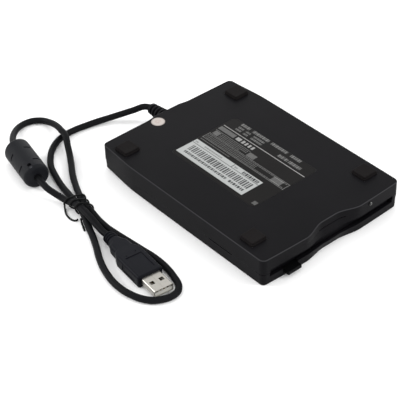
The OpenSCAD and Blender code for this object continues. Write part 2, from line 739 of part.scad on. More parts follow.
// Cord route from the case to the plug, centre line in millimetres.
cord_path = [[0, 69, 11.5], [0, 80, 11.5], [0, 90.3, 11.5], [-2, 94.3, 10.9], [-7, 98, 8.9],
    [-13, 103, 6.2], [-19.5, 108, 3.6], [-26.5, 111.5, 2.3], [-33, 113, 2], [-40, 114, 2],
    [-48, 114, 2], [-56, 112, 2], [-64, 107, 2], [-70.5, 100, 2], [-75, 93, 2], [-78, 85, 2],
    [-81, 75, 2.1], [-83.5, 63, 2.6], [-85, 55, 3.1], [-87, 47, 3.1], [-89.5, 40, 3],
    [-92.5, 32.5, 2], [-96, 24, 2], [-100, 15.5, 2], [-104.5, 7, 2], [-109, -5, 2],
    [-111, -15.5, 2], [-110.5, -26, 2], [-108, -34, 2], [-104.5, -39.2, 2], [-99.7, -42.3, 2],
    [-94.6, -43.8, 2], [-89.8, -43, 2], [-86.3, -39.6, 2], [-83.9, -33, 2], [-82, -24, 2],
    [-81.5, -13, 2], [-82.5, -3, 2], [-83.5, 7, 2], [-84.5, 17, 2], [-85, 26, 2],
    [-84.5, 34, 2.2], [-83.5, 42, 3], [-82.5, 49, 3.1], [-80.5, 56, 3.1], [-77.5, 63, 2.4],
    [-74, 70.5, 2], [-69.5, 79, 2], [-64.5, 87, 2], [-60, 94.5, 2.7], [-56, 102, 4.6],
    [-53.5, 106.5, 5.8], [-52, 110.5, 6.3], [-51.5, 114, 6.3], [-50.5, 118, 5.8],
    [-49.5, 124, 4.6], [-49.5, 130, 3.3], [-51, 136, 2.2], [-55.5, 139.8, 2], [-61, 140.8, 2],
    [-67, 138.8, 2.8], [-73, 134, 4.4], [-78.5, 127.5, 6.2], [-82, 121.5, 7.6],
    [-84.1, 115.9, 8], [-91.1, 83.1, 8], [-92, 77.5, 7.7], [-92, 72, 6.6], [-90.8, 67, 5.4],
    [-89.4, 62, 4.3], [-88.8, 57, 4.4], [-88.5, 51.5, 6.3], [-88.4, 46, 7.1],
    [-89.1, 40, 7.1], [-89.7, 34, 6.6], [-90.2, 28, 5.3], [-90.5, 22.5, 4.3], [-90.45, 16.5, 4]];
// The cord lies where it does on the photo and moves with the rear of the case
cord_shift = [0, rear_y - 72.95, 0];

module usb_cord() {
    start = [[0, rear_y - 3.95, outlet_z], [0, rear_y + 7, outlet_z], [0, rear_y + 17.35, outlet_z]];
    rest = [for (i = [3:len(cord_path) - 1]) cord_path[i] + cord_shift];
    color(dark) tube(concat(start, rest), cord_d / 2, 12);
}

// Ferrite bead, two half shells round two half cores

ferrite_at = [-87.6, 99.5, ferrite_d / 2];
ferrite_turn = atan2(32.8, 7) - 90;
slot_turn = 52;

module ferrite_frame() {
    translate(ferrite_at + cord_shift) rotate([0, 0, ferrite_turn]) rotate([-90, 0, 0]) children();
}

module ferrite_half_space(z0, z1) {
    translate([-140, 40, z0] + cord_shift) cube([120, 120, z1 - z0]);
}

module ferrite_shell() {
    h = ferrite_l / 2;
    r = ferrite_d / 2;
    ferrite_frame() difference() {
        rotate_extrude($fn = 96) polygon([[cord_d / 2 + 0.3, -h], [r - 4, -h], [r - 2.6, -h + 0.5],
            [r - 1.2, -h + 1.6], [r - 0.35, -h + 3], [r, -h + 4.4], [r, h - 4.4], [r - 0.35, h - 3],
            [r - 1.2, h - 1.6], [r - 2.6, h - 0.5], [r - 4, h], [cord_d / 2 + 0.3, h]]);
        translate([0, 0, -h + 2.6]) cylinder(h = 2 * h - 5.2, r = r - 1.6, $fn = 64);
        for (z = [-5, 7.5], a = [-slot_turn, slot_turn]) rotate([0, 0, a])
            box([-2.4, -r - 1, z - 0.45], [2.4, -r + 1, z + 0.45]);
        translate([0, -r + 1, -9]) rotate([90, 0, 0]) rounded_plate(1.7, 4, 3, 0.8);
    }
}

module ferrite_shell_upper() {
    color(dark) intersection() {
        ferrite_shell();
        ferrite_half_space(ferrite_d / 2, 20);
    }
}

module ferrite_shell_lower() {
    color(dark) intersection() {
        ferrite_shell();
        ferrite_half_space(-10, ferrite_d / 2);
    }
}

module ferrite_core() {
    h = ferrite_l / 2 - 2.6;
    ferrite_frame() difference() {
        translate([0, 0, -h]) cylinder(h = 2 * h, r = ferrite_d / 2 - 1.6, $fn = 64);
        translate([0, 0, -h - 1]) cylinder(h = 2 * h + 2, r = cord_d / 2 + 0.4, $fn = 48);
    }
}

module ferrite_core_upper() {
    color([0.3, 0.3, 0.32]) intersection() {
        ferrite_core();
        ferrite_half_space(ferrite_d / 2 + 0.05, 20);
    }
}

module ferrite_core_lower() {
    color([0.3, 0.3, 0.32]) intersection() {
        ferrite_core();
        ferrite_half_space(-10, ferrite_d / 2 - 0.05);
    }
}

// Twist tie, one wire: a loop on the table, turns round the three strands, a second tail

function on_path(y, a, b) = let (
    seg = [for (i = [a:b]) if ((cord_path[i][1] - y) * (cord_path[i + 1][1] - y) <= 0) i],
    i = seg[0], p = cord_path[i], q = cord_path[i + 1], k = (y - p[1]) / (q[1] - p[1]))
    p + k * (q - p);
tie_r = cord_d / 2 + tie_d / 2 + 0.08;
function tie_reach(y, d) = max([for (s = [[14, 23], [40, 48], [66, 76]])
    let (c = on_path(y, s[0], s[1])) c[0] * d[0] + c[2] * d[1]]) + tie_r;
function tie_corner(y, a) = let (k = 4,
    h1 = tie_reach(y, [cos(a - k), sin(a - k)]), h2 = tie_reach(y, [cos(a + k), sin(a + k)]),
    w = sin(2 * k))
    [(h1 * sin(a + k) - h2 * sin(a - k)) / w, (h2 * cos(a - k) - h1 * cos(a + k)) / w];
tie_turns = 3;
tie_rings = 24;
tie_start = 60;
tie_pitch = 3.6;
tie_loops = [for (i = [0:tie_turns * tie_rings])
    let (a = 210 - 360 * i / tie_rings, p = tie_corner(tie_start - tie_pitch * i / tie_rings, a))
    [p[0], tie_start - tie_pitch * i / tie_rings, max(tie_d / 2 + 0.02, p[1])]];
tie_tail_a = [[-92, 43.6, 0.6], [-93.4, 44, 0.5], [-94.3, 45.6, 0.5], [-94.7, 48.2, 0.5],
    [-94.4, 51.2, 0.5], [-93.4, 54.2, 0.5], [-92.1, 57, 0.6], [-91.2, 59, 1]];
tie_tail_b = [[-91.3, 47.6, 1.2], [-92.3, 45.6, 1.7], [-93.4, 43.2, 1.5], [-94.6, 40.6, 0.7],
    [-95.4, 38.6, 0.5]];
tie_path = concat(tie_tail_a, tie_loops, tie_tail_b);
tie_free = min([for (i = [0:len(tie_path) - 10]) for (j = [i + 9:len(tie_path) - 1])
    norm(tie_path[i] - tie_path[j])]) - tie_d;
echo("least gap of the tie to itself", tie_free);

module twist_tie() {
    color(dark) translate(cord_shift) tube(tie_path, tie_d / 2, 6, [0, 0, 1]);
}

// Plug, built along -Y and turned a little in plan

module plug_frame() {
    translate([-90.3, 18.25, 4] + cord_shift) rotate([0, 0, -5.9]) children();
}

// Each section of the overmould: distance, half width, half height, corner radius.
plug_sections = [[1.5, 3.8, 3.6, 3.5], [2, 4.1, 3.85, 3.8], [8, 4.2, 3.85, 3.8],
    [10, 4.6, 3.85, 3.5], [13, 5.7, 3.85, 2.4], [18, 5.9, 3.85, 2], [19.5, 6.6, 3.9, 1.6],
    [23, plug_w / 2, plug_h / 2, 1.6], [43.9, plug_w / 2, plug_h / 2, 1.6],
    [44.7, plug_w / 2 - 0.7, plug_h / 2 - 0.7, 1.2]];
function section(s, w, h, r) = [for (q = [0:3], j = [0:5])
    let (a = 90 * q + 18 * j, sx = (q == 0 || q == 3) ? 1 : -1, sz = q < 2 ? 1 : -1)
    [sx * (w - r) + r * cos(a), -s, sz * (h - r) + r * sin(a)]];

module plug_overmould() {
    n = 24;
    m = len(plug_sections);
    pts = [for (c = plug_sections) each section(c[0], c[1], c[2], c[3])];
    faces = [for (i = [0:m - 2]) for (k = [0:n - 1])
        let (a = i * n + k, b = i * n + (k + 1) % n) each [[a, b, b + n], [a, b + n, a + n]]];
    color(dark) plug_frame() difference() {
        polyhedron(pts, concat([[for (k = [n - 1:-1:0]) k]], faces,
            [[for (k = [0:n - 1]) (m - 1) * n + k]]), convexity = 6);
        rotate([90, 0, 0]) cylinder(h = 16, r = cord_d / 2, $fn = 48);
        for (s = [3, 4.9, 6.8]) for (f = [0, 1]) mirror([0, 0, f])
            box([-5, -s - 0.4, 2.9], [5, -s + 0.4, 5]);
        box([-6, -50, -2.25], [6, -34, 2.25]);
        for (f = [0, 1]) mirror([0, 0, f]) translate([-5, -41.5, plug_h / 2 - 0.35])
            cube([10.2, 14, 1]);
    }
}

module plug_shell() {
    color(steel) plug_frame() difference() {
        box([-6, -57.9, -2.25], [6, -34, 2.25]);
        box([-5.7, -59, -1.95], [5.7, -33, 1.95]);
        for (x = [-3, 3]) box([x - 1.3, -52.4, -3], [x + 1.3, -49.8, 3]);
    }
}

module plug_tongue() {
    color(white) plug_frame() difference() {
        union() {
            box([-5.7, -57.2, -1.95], [5.7, -34, -0.05]);
            box([-5.7, -44, -1.95], [5.7, -34, 1.95]);
        }
        for (i = [-1.5:1:1.5]) box([i * 2.3 - 0.6, -56.6, -0.35], [i * 2.3 + 0.6, -43.9, 0.5]);
    }
}

module plug_contacts() {
    color([0.85, 0.7, 0.35]) plug_frame() for (i = [-1.5:1:1.5])
        box([i * 2.3 - 0.5, -56.4, -0.35], [i * 2.3 + 0.5, -44, 0]);
}

base_case();
top_cover();
rubber_foot_fl();
rubber_foot_fr();
rubber_foot_rl();
rubber_foot_rr();
label_panel();
rating_label();
round_sticker();
led_lens();
slot_door();
eject_button();
eject_plate();
disk_cradle();
drive_chassis();
mechanism_cover();
motor_board();
motor_stator();
rotor_cup();
rotor_magnet();
spindle();
bearing_bush();
head_carriage();
lower_head();
upper_head_arm();
upper_head();
guide_rod();
stepper_motor();
lead_screw();
trigger_lever();
lever_post();
controller_board();
controller_chips();
cord_socket();
board_ribbon();
cord_leads();
case_screws();
mechanism_screws();
cord_strain_relief();
usb_cord();
ferrite_shell_upper();
ferrite_shell_lower();
ferrite_core_upper();
ferrite_core_lower();
twist_tie();
plug_overmould();
plug_shell();
plug_tongue();
plug_contacts();
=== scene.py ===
import math
import bpy
import numpy as np
from mathutils import Matrix, Vector


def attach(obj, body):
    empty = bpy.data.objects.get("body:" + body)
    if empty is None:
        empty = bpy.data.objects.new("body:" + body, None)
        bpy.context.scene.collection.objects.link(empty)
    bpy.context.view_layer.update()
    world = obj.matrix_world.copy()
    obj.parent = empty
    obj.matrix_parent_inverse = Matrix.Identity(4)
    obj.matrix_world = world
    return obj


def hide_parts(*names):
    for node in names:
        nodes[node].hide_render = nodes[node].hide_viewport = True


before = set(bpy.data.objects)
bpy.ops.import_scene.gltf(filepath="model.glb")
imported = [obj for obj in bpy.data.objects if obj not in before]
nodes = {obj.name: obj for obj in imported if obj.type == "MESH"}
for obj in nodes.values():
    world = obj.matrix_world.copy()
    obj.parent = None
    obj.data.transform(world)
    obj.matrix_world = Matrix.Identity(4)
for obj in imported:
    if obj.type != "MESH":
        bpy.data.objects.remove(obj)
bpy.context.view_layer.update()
mm = 0.001
print("frame loaded,", len(nodes), "CAD nodes")


# A shader socket that can be used in plain arithmetic, each sign adding one Math node
class Wire:
    def __init__(self, graph, socket):
        self.graph = graph
        self.socket = socket

    def math(self, operation, other=0.0, flip=False):
        a, b = (other, self) if flip else (self, other)
        return self.graph.node("ShaderNodeMath", {"operation": operation}, {0: a, 1: b})

    def __add__(self, other): return self.math("ADD", other)
    def __radd__(self, other): return self.math("ADD", other)
    def __sub__(self, other): return self.math("SUBTRACT", other)
    def __rsub__(self, other): return self.math("SUBTRACT", other, True)
    def __mul__(self, other): return self.math("MULTIPLY", other)
    def __rmul__(self, other): return self.math("MULTIPLY", other)
    def __truediv__(self, other): return self.math("DIVIDE", other)
    def __rtruediv__(self, other): return self.math("DIVIDE", other, True)
    def __lt__(self, other): return self.math("LESS_THAN", other)
    def __gt__(self, other): return self.math("GREATER_THAN", other)
    def sin(self): return self.math("SINE")
    def least(self, other): return self.math("MINIMUM", other)
    def most(self, other): return self.math("MAXIMUM", other)
    def power(self, other): return self.math("POWER", other)

    # 0 below low, 1 above high, smooth between them
    def step(self, low, high):
        return self.graph.node("ShaderNodeMapRange", {"interpolation_type": "SMOOTHSTEP"},
                               {"Value": self, "From Min": low, "From Max": high})


# One material's node graph
class Graph:
    def __init__(self, name):
        self.material = bpy.data.materials.new(name)
        self.material.use_nodes = True
        self.tree = self.material.node_tree
        self.tree.nodes.clear()
        self.output = self.tree.nodes.new("ShaderNodeOutputMaterial")

    # Adds a node, its settings first, then its sockets' values or links, and returns an output
    def node(self, kind, settings=None, sockets=None, out=0):
        made = self.tree.nodes.new(kind)
        for key, value in (settings or {}).items():
            setattr(made, key, value)
        for key, value in (sockets or {}).items():
            socket = made.inputs[key]
            if isinstance(value, Wire):
                self.tree.links.new(value.socket, socket)
            elif isinstance(value, tuple) and len(value) == 3 and socket.type == "RGBA":
                socket.default_value = (*value, 1)
            else:
                socket.default_value = value
        return Wire(self, made.outputs[out])

    def position(self, name="Object"):
        return self.node("ShaderNodeTexCoord", {}, {}, name)

    def axes(self, place):
        made = self.tree.nodes.new("ShaderNodeSeparateXYZ")
        self.tree.links.new(place.socket, made.inputs[0])
        return [Wire(self, s) for s in made.outputs]

    def noise(self, place, scale, detail=3.0, rough=0.5):
        return self.node("ShaderNodeTexNoise", {}, {"Vector": place, "Scale": scale,
                                                    "Detail": detail, "Roughness": rough})

    def mix(self, share, a, b):
        return self.node("ShaderNodeMix", {"data_type": "RGBA"}, {0: share, 6: a, 7: b}, 2)

    def bump(self, height, strength, distance):
        return self.node("ShaderNodeBump", {}, {"Height": height, "Strength": strength,
                                                "Distance": distance})

    # Principled shader with the given sockets, joined to the output
    def finish(self, **sockets):
        shader = self.node("ShaderNodeBsdfPrincipled", {},
                           {k.replace("_", " "): v for k, v in sockets.items()})
        self.tree.links.new(shader.socket, self.output.inputs[0])
        return self.material


plasticFacts = {"drift": 28.0, "spots": 140.0, "spotEdge": (0.62, 0.8), "toneEdge": (0.35, 0.7),
                "driftRough": 0.07, "spotSmooth": 0.05, "bump": 0.35}


# The noises all moulded plastics share: slow drift, fine grain, and spots cut out by a smooth step
def plasticNoise(g, place, grain):
    f = plasticFacts
    slow = g.noise(place, f["drift"], 3.0)
    fine = g.noise(place, grain, 2.0, 0.6)
    return slow, fine, g.noise(place, f["spots"], 5.0, 0.7).step(*f["spotEdge"])


# Moulded plastic: fine spark-eroded grain, rougher with the slow drift, smoother on rubbed spots
def mouldedPlastic(name, tone, rough, grain=9000.0, depth=0.000012, shine=0.3, coat=0.0,
                   drift=1.15):
    g = Graph(name)
    f = plasticFacts
    slow, fine, spots = plasticNoise(g, g.position(), grain)
    paler = tuple(min(1.0, c * drift + 0.0006) for c in tone)
    return g.finish(Base_Color=g.mix(slow.step(*f["toneEdge"]), tone, paler),
                    Roughness=rough + f["driftRough"] * slow - f["spotSmooth"] * spots,
                    Specular_IOR_Level=shine, Coat_Weight=coat,
                    Normal=g.bump(fine, f["bump"], depth))


# The rim tone, over the band from low to high, is a painted highlight
caseFinish = {"tone": (0.0038, 0.0036, 0.0044), "rimHighlight": (0.031, 0.031, 0.033), "low": 17.6,
              "high": 18.17, "fade": 0.1, "rough": 0.38, "shine": 0.042, "grain": 9000.0,
              "depth": 0.000003}


# Case plastic: as moulded plastic, but with a painted highlight on the rounded rim: a paler band of
# height (the product of two smooth steps) where the rim catches the light
def rimmedPlastic(name, facts):
    g = Graph(name)
    f = plasticFacts
    place = g.position()
    z = g.axes(place)[2]
    low, high, fade = (facts[k] * mm for k in ("low", "high", "fade"))
    slow, fine, spots = plasticNoise(g, place, facts["grain"])
    # painted highlight: the rounded top rim made paler where it catches the light
    rim = z.step(low, low + fade) * (1.0 - z.step(high - fade, high)) * (0.75 + 0.5 * slow)
    paler = tuple(1.15 * c + 0.0004 for c in facts["tone"])
    plain = g.mix(slow.step(*f["toneEdge"]), facts["tone"], paler)
    return g.finish(Base_Color=g.mix(rim.least(1.0), plain, facts["rimHighlight"]),
                    Roughness=facts["rough"] + f["driftRough"] * slow - f["spotSmooth"] * spots,
                    Specular_IOR_Level=facts["shine"],
                    Normal=g.bump(fine, f["bump"], facts["depth"]))


# Sheet metal: fine lines along one axis over a slow cloud, with a few faint stains
def sheetMetal(name, tone, rough, lines=(4000.0, 60.0, 4000.0)):
    g = Graph(name)
    place = g.position()
    stretched = g.node("ShaderNodeMapping", {}, {"Vector": place, "Scale": lines})
    brush = g.noise(stretched, 1.0, 3.0)
    cloud = g.noise(place, 60.0, 3.0)
    stain = g.noise(place, 320.0, 4.0, 0.65).step(0.55, 0.78)
    colour = g.mix(cloud, tuple(0.86 * c for c in tone), tone)
    stained = tuple(0.6 * c for c in tone)
    return g.finish(Base_Color=g.mix(0.35 * stain, colour, stained), Metallic=1.0,
                    Roughness=rough + 0.12 * brush + 0.1 * stain,
                    Normal=g.bump(brush, 0.15, 0.00001))


# Rubber and cord skin: fine mottling under a slow tone drift
def rubberSkin(name, tone, rough=0.62, mottle=700.0, shine=0.3, depth=0.00002):
    g = Graph(name)
    place = g.position()
    coarse = g.noise(place, mottle, 4.0, 0.6)
    slow = g.noise(place, 60.0, 3.0)
    paler = tuple(1.3 * c + 0.0006 for c in tone)
    return g.finish(Base_Color=g.mix(slow.step(0.3, 0.75), tone, paler),
                    Roughness=rough + 0.12 * coarse, Specular_IOR_Level=shine,
                    Normal=g.bump(coarse, 0.3, depth))


dashWaves = {"first": 6283.0, "second": 9740.0, "shift": 1.0, "gapBelow": -0.5}


# Share of a point covered by print. Each row is (left, right, low, high, dash length, strength) in
# millimetres: inside its box the strength, cut where a sum of two waves along it falls low
def dashRows(x, y, rows):
    w = dashWaves
    ink = 0.0
    for left, right, low, high, dash, strength in rows:
        inside = (x > left * mm) * (x < right * mm) * (y > low * mm) * (y < high * mm) * strength
        if dash:
            waves = (y * (w["first"] / dash)).sin() + (y * (w["second"] / dash) + w["shift"]).sin()
            inside = inside * (waves > w["gapBelow"])
        ink = inside + ink
    return ink.least(1.0)


panelFacts = {
    "film": (0.0046, 0.0042, 0.0041), "ink": (0.3, 0.3, 0.295),
    "title": [(22.4, 24.8, low, high, 1.5, 0.42) for low, high in
              ((24.1, 31.3), (7.6, 21.3), (-8.4, 5.4), (-19.6, -10.9))],
    "lines": [(x, x + 1.5, low, high, 1.2, 0.4) for x in (17.2, 19.6) for low, high in
              ((25.8, 30.7), (20.4, 24.1), (7.9, 17.6))],
    "rating": [(17.4, 19.8, low, high, 1.4, 0.42) for low, high in
               ((-10.9, -5.9), (-13.7, -11.5), (-24.6, -14.6))],
    "rules": [(14.85, 15.4, -31.4, 38.2, 0, 0.85), (10.3, 13.6, 24.6, 38.2, 0, 0.3)],
    "bold": [(10.5, 13.3, low, high, 0, 0.85) for low, high in
             ((19.4, 23.1), (16.3, 18.2), (13.7, 15.3), (10.9, 12.5), (8.1, 9.7))],
    "small": [(x, x + 0.7, low, high, 1.1, 0.3) for x, low, high in
              ((7.2, 8.2, 31.5), (5.9, 8.2, 31.5), (4.6, 13.0, 31.5), (2.5, -30.0, 36.8),
               (1.2, -5.5, 37.2), (-0.1, -5.5, 37.2), (-1.4, -30.0, 36.8))],
    "boxes": [(8.6, 8.95, 7.6, 38.0, 0, 0.4), (3.6, 3.95, -31.4, 38.0, 0, 0.42),
              (-2.1, -1.75, -31.4, 38.0, 0, 0.42), (-2.1, 3.9, -31.4, -31.0, 0, 0.42),
              (-2.1, 3.9, 37.7, 38.1, 0, 0.42), (4.4, 8.2, 32.4, 37.0, 0, 0.32),
              (4.4, 8.3, 0.7, 7.0, 0, 0.3), (-1.3, 3.2, -27.4, -19.6, 0, 0.28),
              (-4.1, -3.4, 11.9, 37.9, 1.0, 0.3), (-23.2, -20.2, -31.2, -28.2, 0, 0.25)],
}


# Printed film: dark glossy ground, a white rule, dash rows and thin grey frames, no lettering
def printedPanel(name, facts):
    g = Graph(name)
    place = g.position()
    x, y = g.axes(place)[:2]
    slow = g.noise(place, 45.0, 3.0)
    worn = g.noise(place, 700.0, 3.0).step(0.2, 0.6)
    ground = g.mix(slow.step(0.3, 0.75), facts["film"], tuple(1.35 * c for c in facts["film"]))
    kinds = ("title", "lines", "rating", "rules", "bold", "small", "boxes")
    rows = sum((facts[k] for k in kinds), [])
    colour = g.mix(dashRows(x, y, rows) * (0.7 + 0.3 * worn), ground, facts["ink"])
    return g.finish(Base_Color=colour, Roughness=0.3 + 0.1 * slow, Specular_IOR_Level=0.055)


labelFacts = {
    "paper": (0.33, 0.34, 0.335), "ink": (0.016, 0.016, 0.018),
    "rows": [(-9.8, -9.3, -19.8, 37.9, 0, 0.75), (-9.6, -6.1, 3.9, 4.5, 0, 0.85),
             (-8.4, -7.2, 14.0, 29.2, 1.1, 0.6), (-8.4, -7.4, 35.0, 37.2, 1.0, 0.7),
             (-8.4, -7.2, 0.4, 2.8, 1.0, 0.7), (-9.0, -6.7, -17.6, -4.3, 1.6, 1.0),
             (-20.0, -18.0, -2.1, 34.7, 1.6, 0.9), (-20.0, -18.0, -16.8, -4.3, 1.9, 0.95)],
    "stripes": (-16.8, -11.2, -17.2, 34.8), "waves": (3650.0, 2270.0, 6110.0),
}


# Paper label: stripes of uneven width across one band, thin frames and dash rows, no lettering
def stripedLabel(name, facts):
    g = Graph(name)
    place = g.position()
    x, y = g.axes(place)[:2]
    fibre = g.noise(place, 900.0, 4.0, 0.6)
    left, right, low, high = (v * mm for v in facts["stripes"])
    wide, wider, narrow = facts["waves"]
    waves = (y * wide).sin() + 0.5 * (y * wider + 0.7).sin() + 0.35 * (y * narrow).sin()
    stripes = (x > left) * (x < right) * (y > low) * (y < high) * (waves > -0.25)
    ink = dashRows(x, y, facts["rows"]).most(0.92 * stripes)
    paper = g.mix(fibre, facts["paper"], tuple(0.93 * c for c in facts["paper"]))
    return g.finish(Base_Color=g.mix(ink, paper, facts["ink"]), Roughness=0.5 + 0.12 * fibre,
                    Specular_IOR_Level=0.2, Normal=g.bump(fibre, 0.2, 0.00001))


stickerFacts = {"centre": (-12.0, 67.6), "radius": 4.2, "paper": (0.40, 0.365, 0.34),
                "blush": (0.33, 0.22, 0.2), "rim": (0.2, 0.17, 0.16)}


# Round sticker: pale paper with a darker rim line and a soft blush in the middle
def roundPaper(name, facts):
    g = Graph(name)
    place = g.position()
    x, y = g.axes(place)[:2]
    cx, cy = (v * mm for v in facts["centre"])
    away = ((x - cx).power(2.0) + (y - cy).power(2.0)).power(0.5) / (facts["radius"] * mm)
    blush = (1.0 - away.step(0.25, 0.6)) * g.noise(place, 900.0, 3.0).step(0.4, 0.6)
    ring = away.step(0.8, 0.9)
    colour = g.mix(0.8 * blush, facts["paper"], facts["blush"])
    return g.finish(Base_Color=g.mix(0.5 * ring, colour, facts["rim"]),
                    Roughness=0.42 + 0.1 * away, Specular_IOR_Level=0.2)


# The paler tone is the lens's painted highlight
lensFacts = {"centre": (28.1, 15.2), "radius": 1.1, "dark": (0.008, 0.008, 0.008),
             "glint": (0.16, 0.165, 0.16)}


# Lamp lens: dark, with a painted highlight as a bright arc on one side, a smooth step of the
# distance from the middle times one across it
def lampLens(name, facts):
    g = Graph(name)
    x, _, z = g.axes(g.position())
    cx, cz = (v * mm for v in facts["centre"])
    away = ((x - cx).power(2.0) + (z - cz).power(2.0)).power(0.5) / (facts["radius"] * mm)
    # painted highlight: the arc on one side of the lens
    ring = away.step(0.5, 0.75) * ((x - cx) / (facts["radius"] * mm)).step(-0.3, 0.3)
    return g.finish(Base_Color=g.mix(ring, facts["dark"], facts["glint"]),
                    Roughness=0.3 + 0.1 * ring, Specular_IOR_Level=0.1)


materials = {
    "case": rimmedPlastic("caseCharcoal", caseFinish),
    "button": mouldedPlastic("buttonBlack", (0.002, 0.002, 0.0023), 0.42, shine=0.04),
    "foot": rubberSkin("footRubber", (0.006, 0.0052, 0.0053), 0.6, 900.0, 0.04, 0.00003),
    "cord": rubberSkin("cordSkin", (0.0042, 0.0043, 0.0051), 0.42, 1400.0, 0.05),
    "plug": mouldedPlastic("plugSkin", (0.005, 0.0053, 0.0074), 0.4, 4000.0, 0.00001, 0.06),
    "ferrite": mouldedPlastic("ferriteHousing", (0.0062, 0.0066, 0.0084), 0.48, 5000.0, 0.00001,
                              0.09),
    "tie": rubberSkin("tieSkin", (0.002, 0.002, 0.0022), 0.45, 2000.0, 0.1),
    "nickel": sheetMetal("plugNickel", (0.44, 0.425, 0.39), 0.24),
    "steel": sheetMetal("zincSheet", (0.45, 0.46, 0.48), 0.3),
    "panel": printedPanel("panelFilm", panelFacts),
    "label": stripedLabel("labelPaper", labelFacts),
    "sticker": roundPaper("stickerPaper", stickerFacts),
    "lens": lampLens("lampLens", lensFacts),
    "board": mouldedPlastic("boardMask", (0.02, 0.12, 0.05), 0.3, 2000.0, 0.00001, 0.5, 0.4),
    "chip": mouldedPlastic("chipResin", (0.012, 0.012, 0.013), 0.5),
    "dark": mouldedPlastic("mechanismPlastic", (0.03, 0.03, 0.034), 0.45),
    "pale": mouldedPlastic("naturalPlastic", (0.62, 0.61, 0.56), 0.4, 3000.0, 0.000006, 0.5,
                           drift=1.02),
    "copper": sheetMetal("coilCopper", (0.6, 0.28, 0.12), 0.3, (9000.0, 9000.0, 300.0)),
    "brass": sheetMetal("bushBronze", (0.55, 0.38, 0.17), 0.34),
    "gold": sheetMetal("contactGold", (0.8, 0.58, 0.24), 0.2),
    "iron": sheetMetal("ferriteGrey", (0.09, 0.09, 0.1), 0.5),
    "ribbon": mouldedPlastic("ribbonFilm", (0.45, 0.3, 0.1), 0.25, 3000.0, 0.000005, 0.5, 0.5),
    "lead": rubberSkin("leadSkin", (0.3, 0.05, 0.04), 0.45),
}
dress = {
    "case": ["base_case", "top_cover", "slot_door", "eject_button"],
    "foot": ["rubber_foot_fl", "rubber_foot_fr", "rubber_foot_rl", "rubber_foot_rr"],
    "panel": ["label_panel"], "label": ["rating_label"], "sticker": ["round_sticker"],
    "lens": ["led_lens"],
    "steel": ["eject_plate", "disk_cradle", "drive_chassis", "mechanism_cover", "upper_head_arm",
              "rotor_cup", "spindle", "guide_rod", "stepper_motor", "lead_screw", "lever_post",
              "case_screws", "mechanism_screws"],
    "iron": ["rotor_magnet", "ferrite_core_upper", "ferrite_core_lower"],
    "brass": ["bearing_bush"], "copper": ["motor_stator"],
    "board": ["motor_board", "controller_board"], "chip": ["controller_chips"],
    "dark": ["head_carriage", "trigger_lever"],
    "pale": ["lower_head", "upper_head", "cord_socket", "plug_tongue"],
    "ribbon": ["board_ribbon"], "lead": ["cord_leads"],
    "cord": ["usb_cord", "cord_strain_relief"], "tie": ["twist_tie"],
    "plug": ["plug_overmould"],
    "ferrite": ["ferrite_shell_upper", "ferrite_shell_lower"],
    "nickel": ["plug_shell"], "gold": ["plug_contacts"],
}
for finish, names in dress.items():
    for name in names:
        data = nodes[name].data
        data.materials.clear()
        data.materials.append(materials[finish])
print("materials made,", len(materials))

# Camera, from the photograph's fitted view
view = {"azimuth": -39.85, "elevation": 38.89, "roll": -1.62, "distance": 0.80075,
        "target": (-0.0367, -0.0067, 0.009), "lens": 122.04}
az, el, ro = (math.radians(view[k]) for k in ("azimuth", "elevation", "roll"))
back = Vector((math.sin(az) * math.cos(el), -math.cos(az) * math.cos(el), math.sin(el)))
side = Vector((math.cos(az), math.sin(az), 0.0))
rise = back.cross(side)
across = math.cos(ro) * side + math.sin(ro) * rise
upward = -math.sin(ro) * side + math.cos(ro) * rise
camera = bpy.data.objects.new("camera", bpy.data.cameras.new("camera"))
bpy.context.scene.collection.objects.link(camera)
turn = Matrix((across, upward, back)).transposed().to_4x4()
camera.matrix_world = Matrix.Translation(Vector(view["target"]) + back * view["distance"]) @ turn
camera.data.lens = view["lens"]
camera.data.sensor_width = 36.0
camera.data.clip_start = 0.01
bpy.context.scene.camera = camera


# Object from points and faces; faces that meet at more than the given angle keep a sharp edge
def addMesh(name, points, faces, finish, sharp=None):
    data = bpy.data.meshes.new(name)
    data.from_pydata(np.asarray(points).tolist(), [], faces)
    data.polygons.foreach_set("use_smooth", np.full(len(data.polygons), True))
    if sharp is not None:
        data.set_sharp_from_angle(angle=math.radians(sharp))
    data.materials.append(materials[finish])
    data.update()
    made = bpy.data.objects.new(name, data)
    bpy.context.scene.collection.objects.link(made)
    return made


# Faces of a grid of rings: each ring joined to the next, closed round, with end caps
def ringFaces(rings, around, caps=True):
    i, k = np.meshgrid(np.arange(rings - 1), np.arange(around), indexing="ij")
    a = (i * around + k).ravel()
    b = (i * around + (k + 1) % around).ravel()
    faces = np.stack([a, b, b + around, a + around], 1).tolist()
    if caps:
        faces.append(list(range(around))[::-1])
        faces.append([(rings - 1) * around + n for n in range(around)])
    return faces


# Several closed pieces in one mesh: points stacked, faces renumbered
def joined(parts):
    points, faces, start = [], [], 0
    for p, f in parts:
        points.append(np.asarray(p, float))
        faces += [[v + start for v in face] for face in f]
        start += len(p)
    return np.concatenate(points), faces


# Plain box between two corners
def boxPart(a, b):
    x, y, z = ((a[i], b[i]) for i in range(3))
    p = [(x[i], y[j], z[k]) for k in (0, 1) for i, j in ((0, 0), (1, 0), (1, 1), (0, 1))]
    return np.array(p) * mm, [[0, 3, 2, 1], [4, 5, 6, 7], [0, 1, 5, 4], [1, 2, 6, 5], [2, 3, 7, 6],
                              [3, 0, 4, 7]]


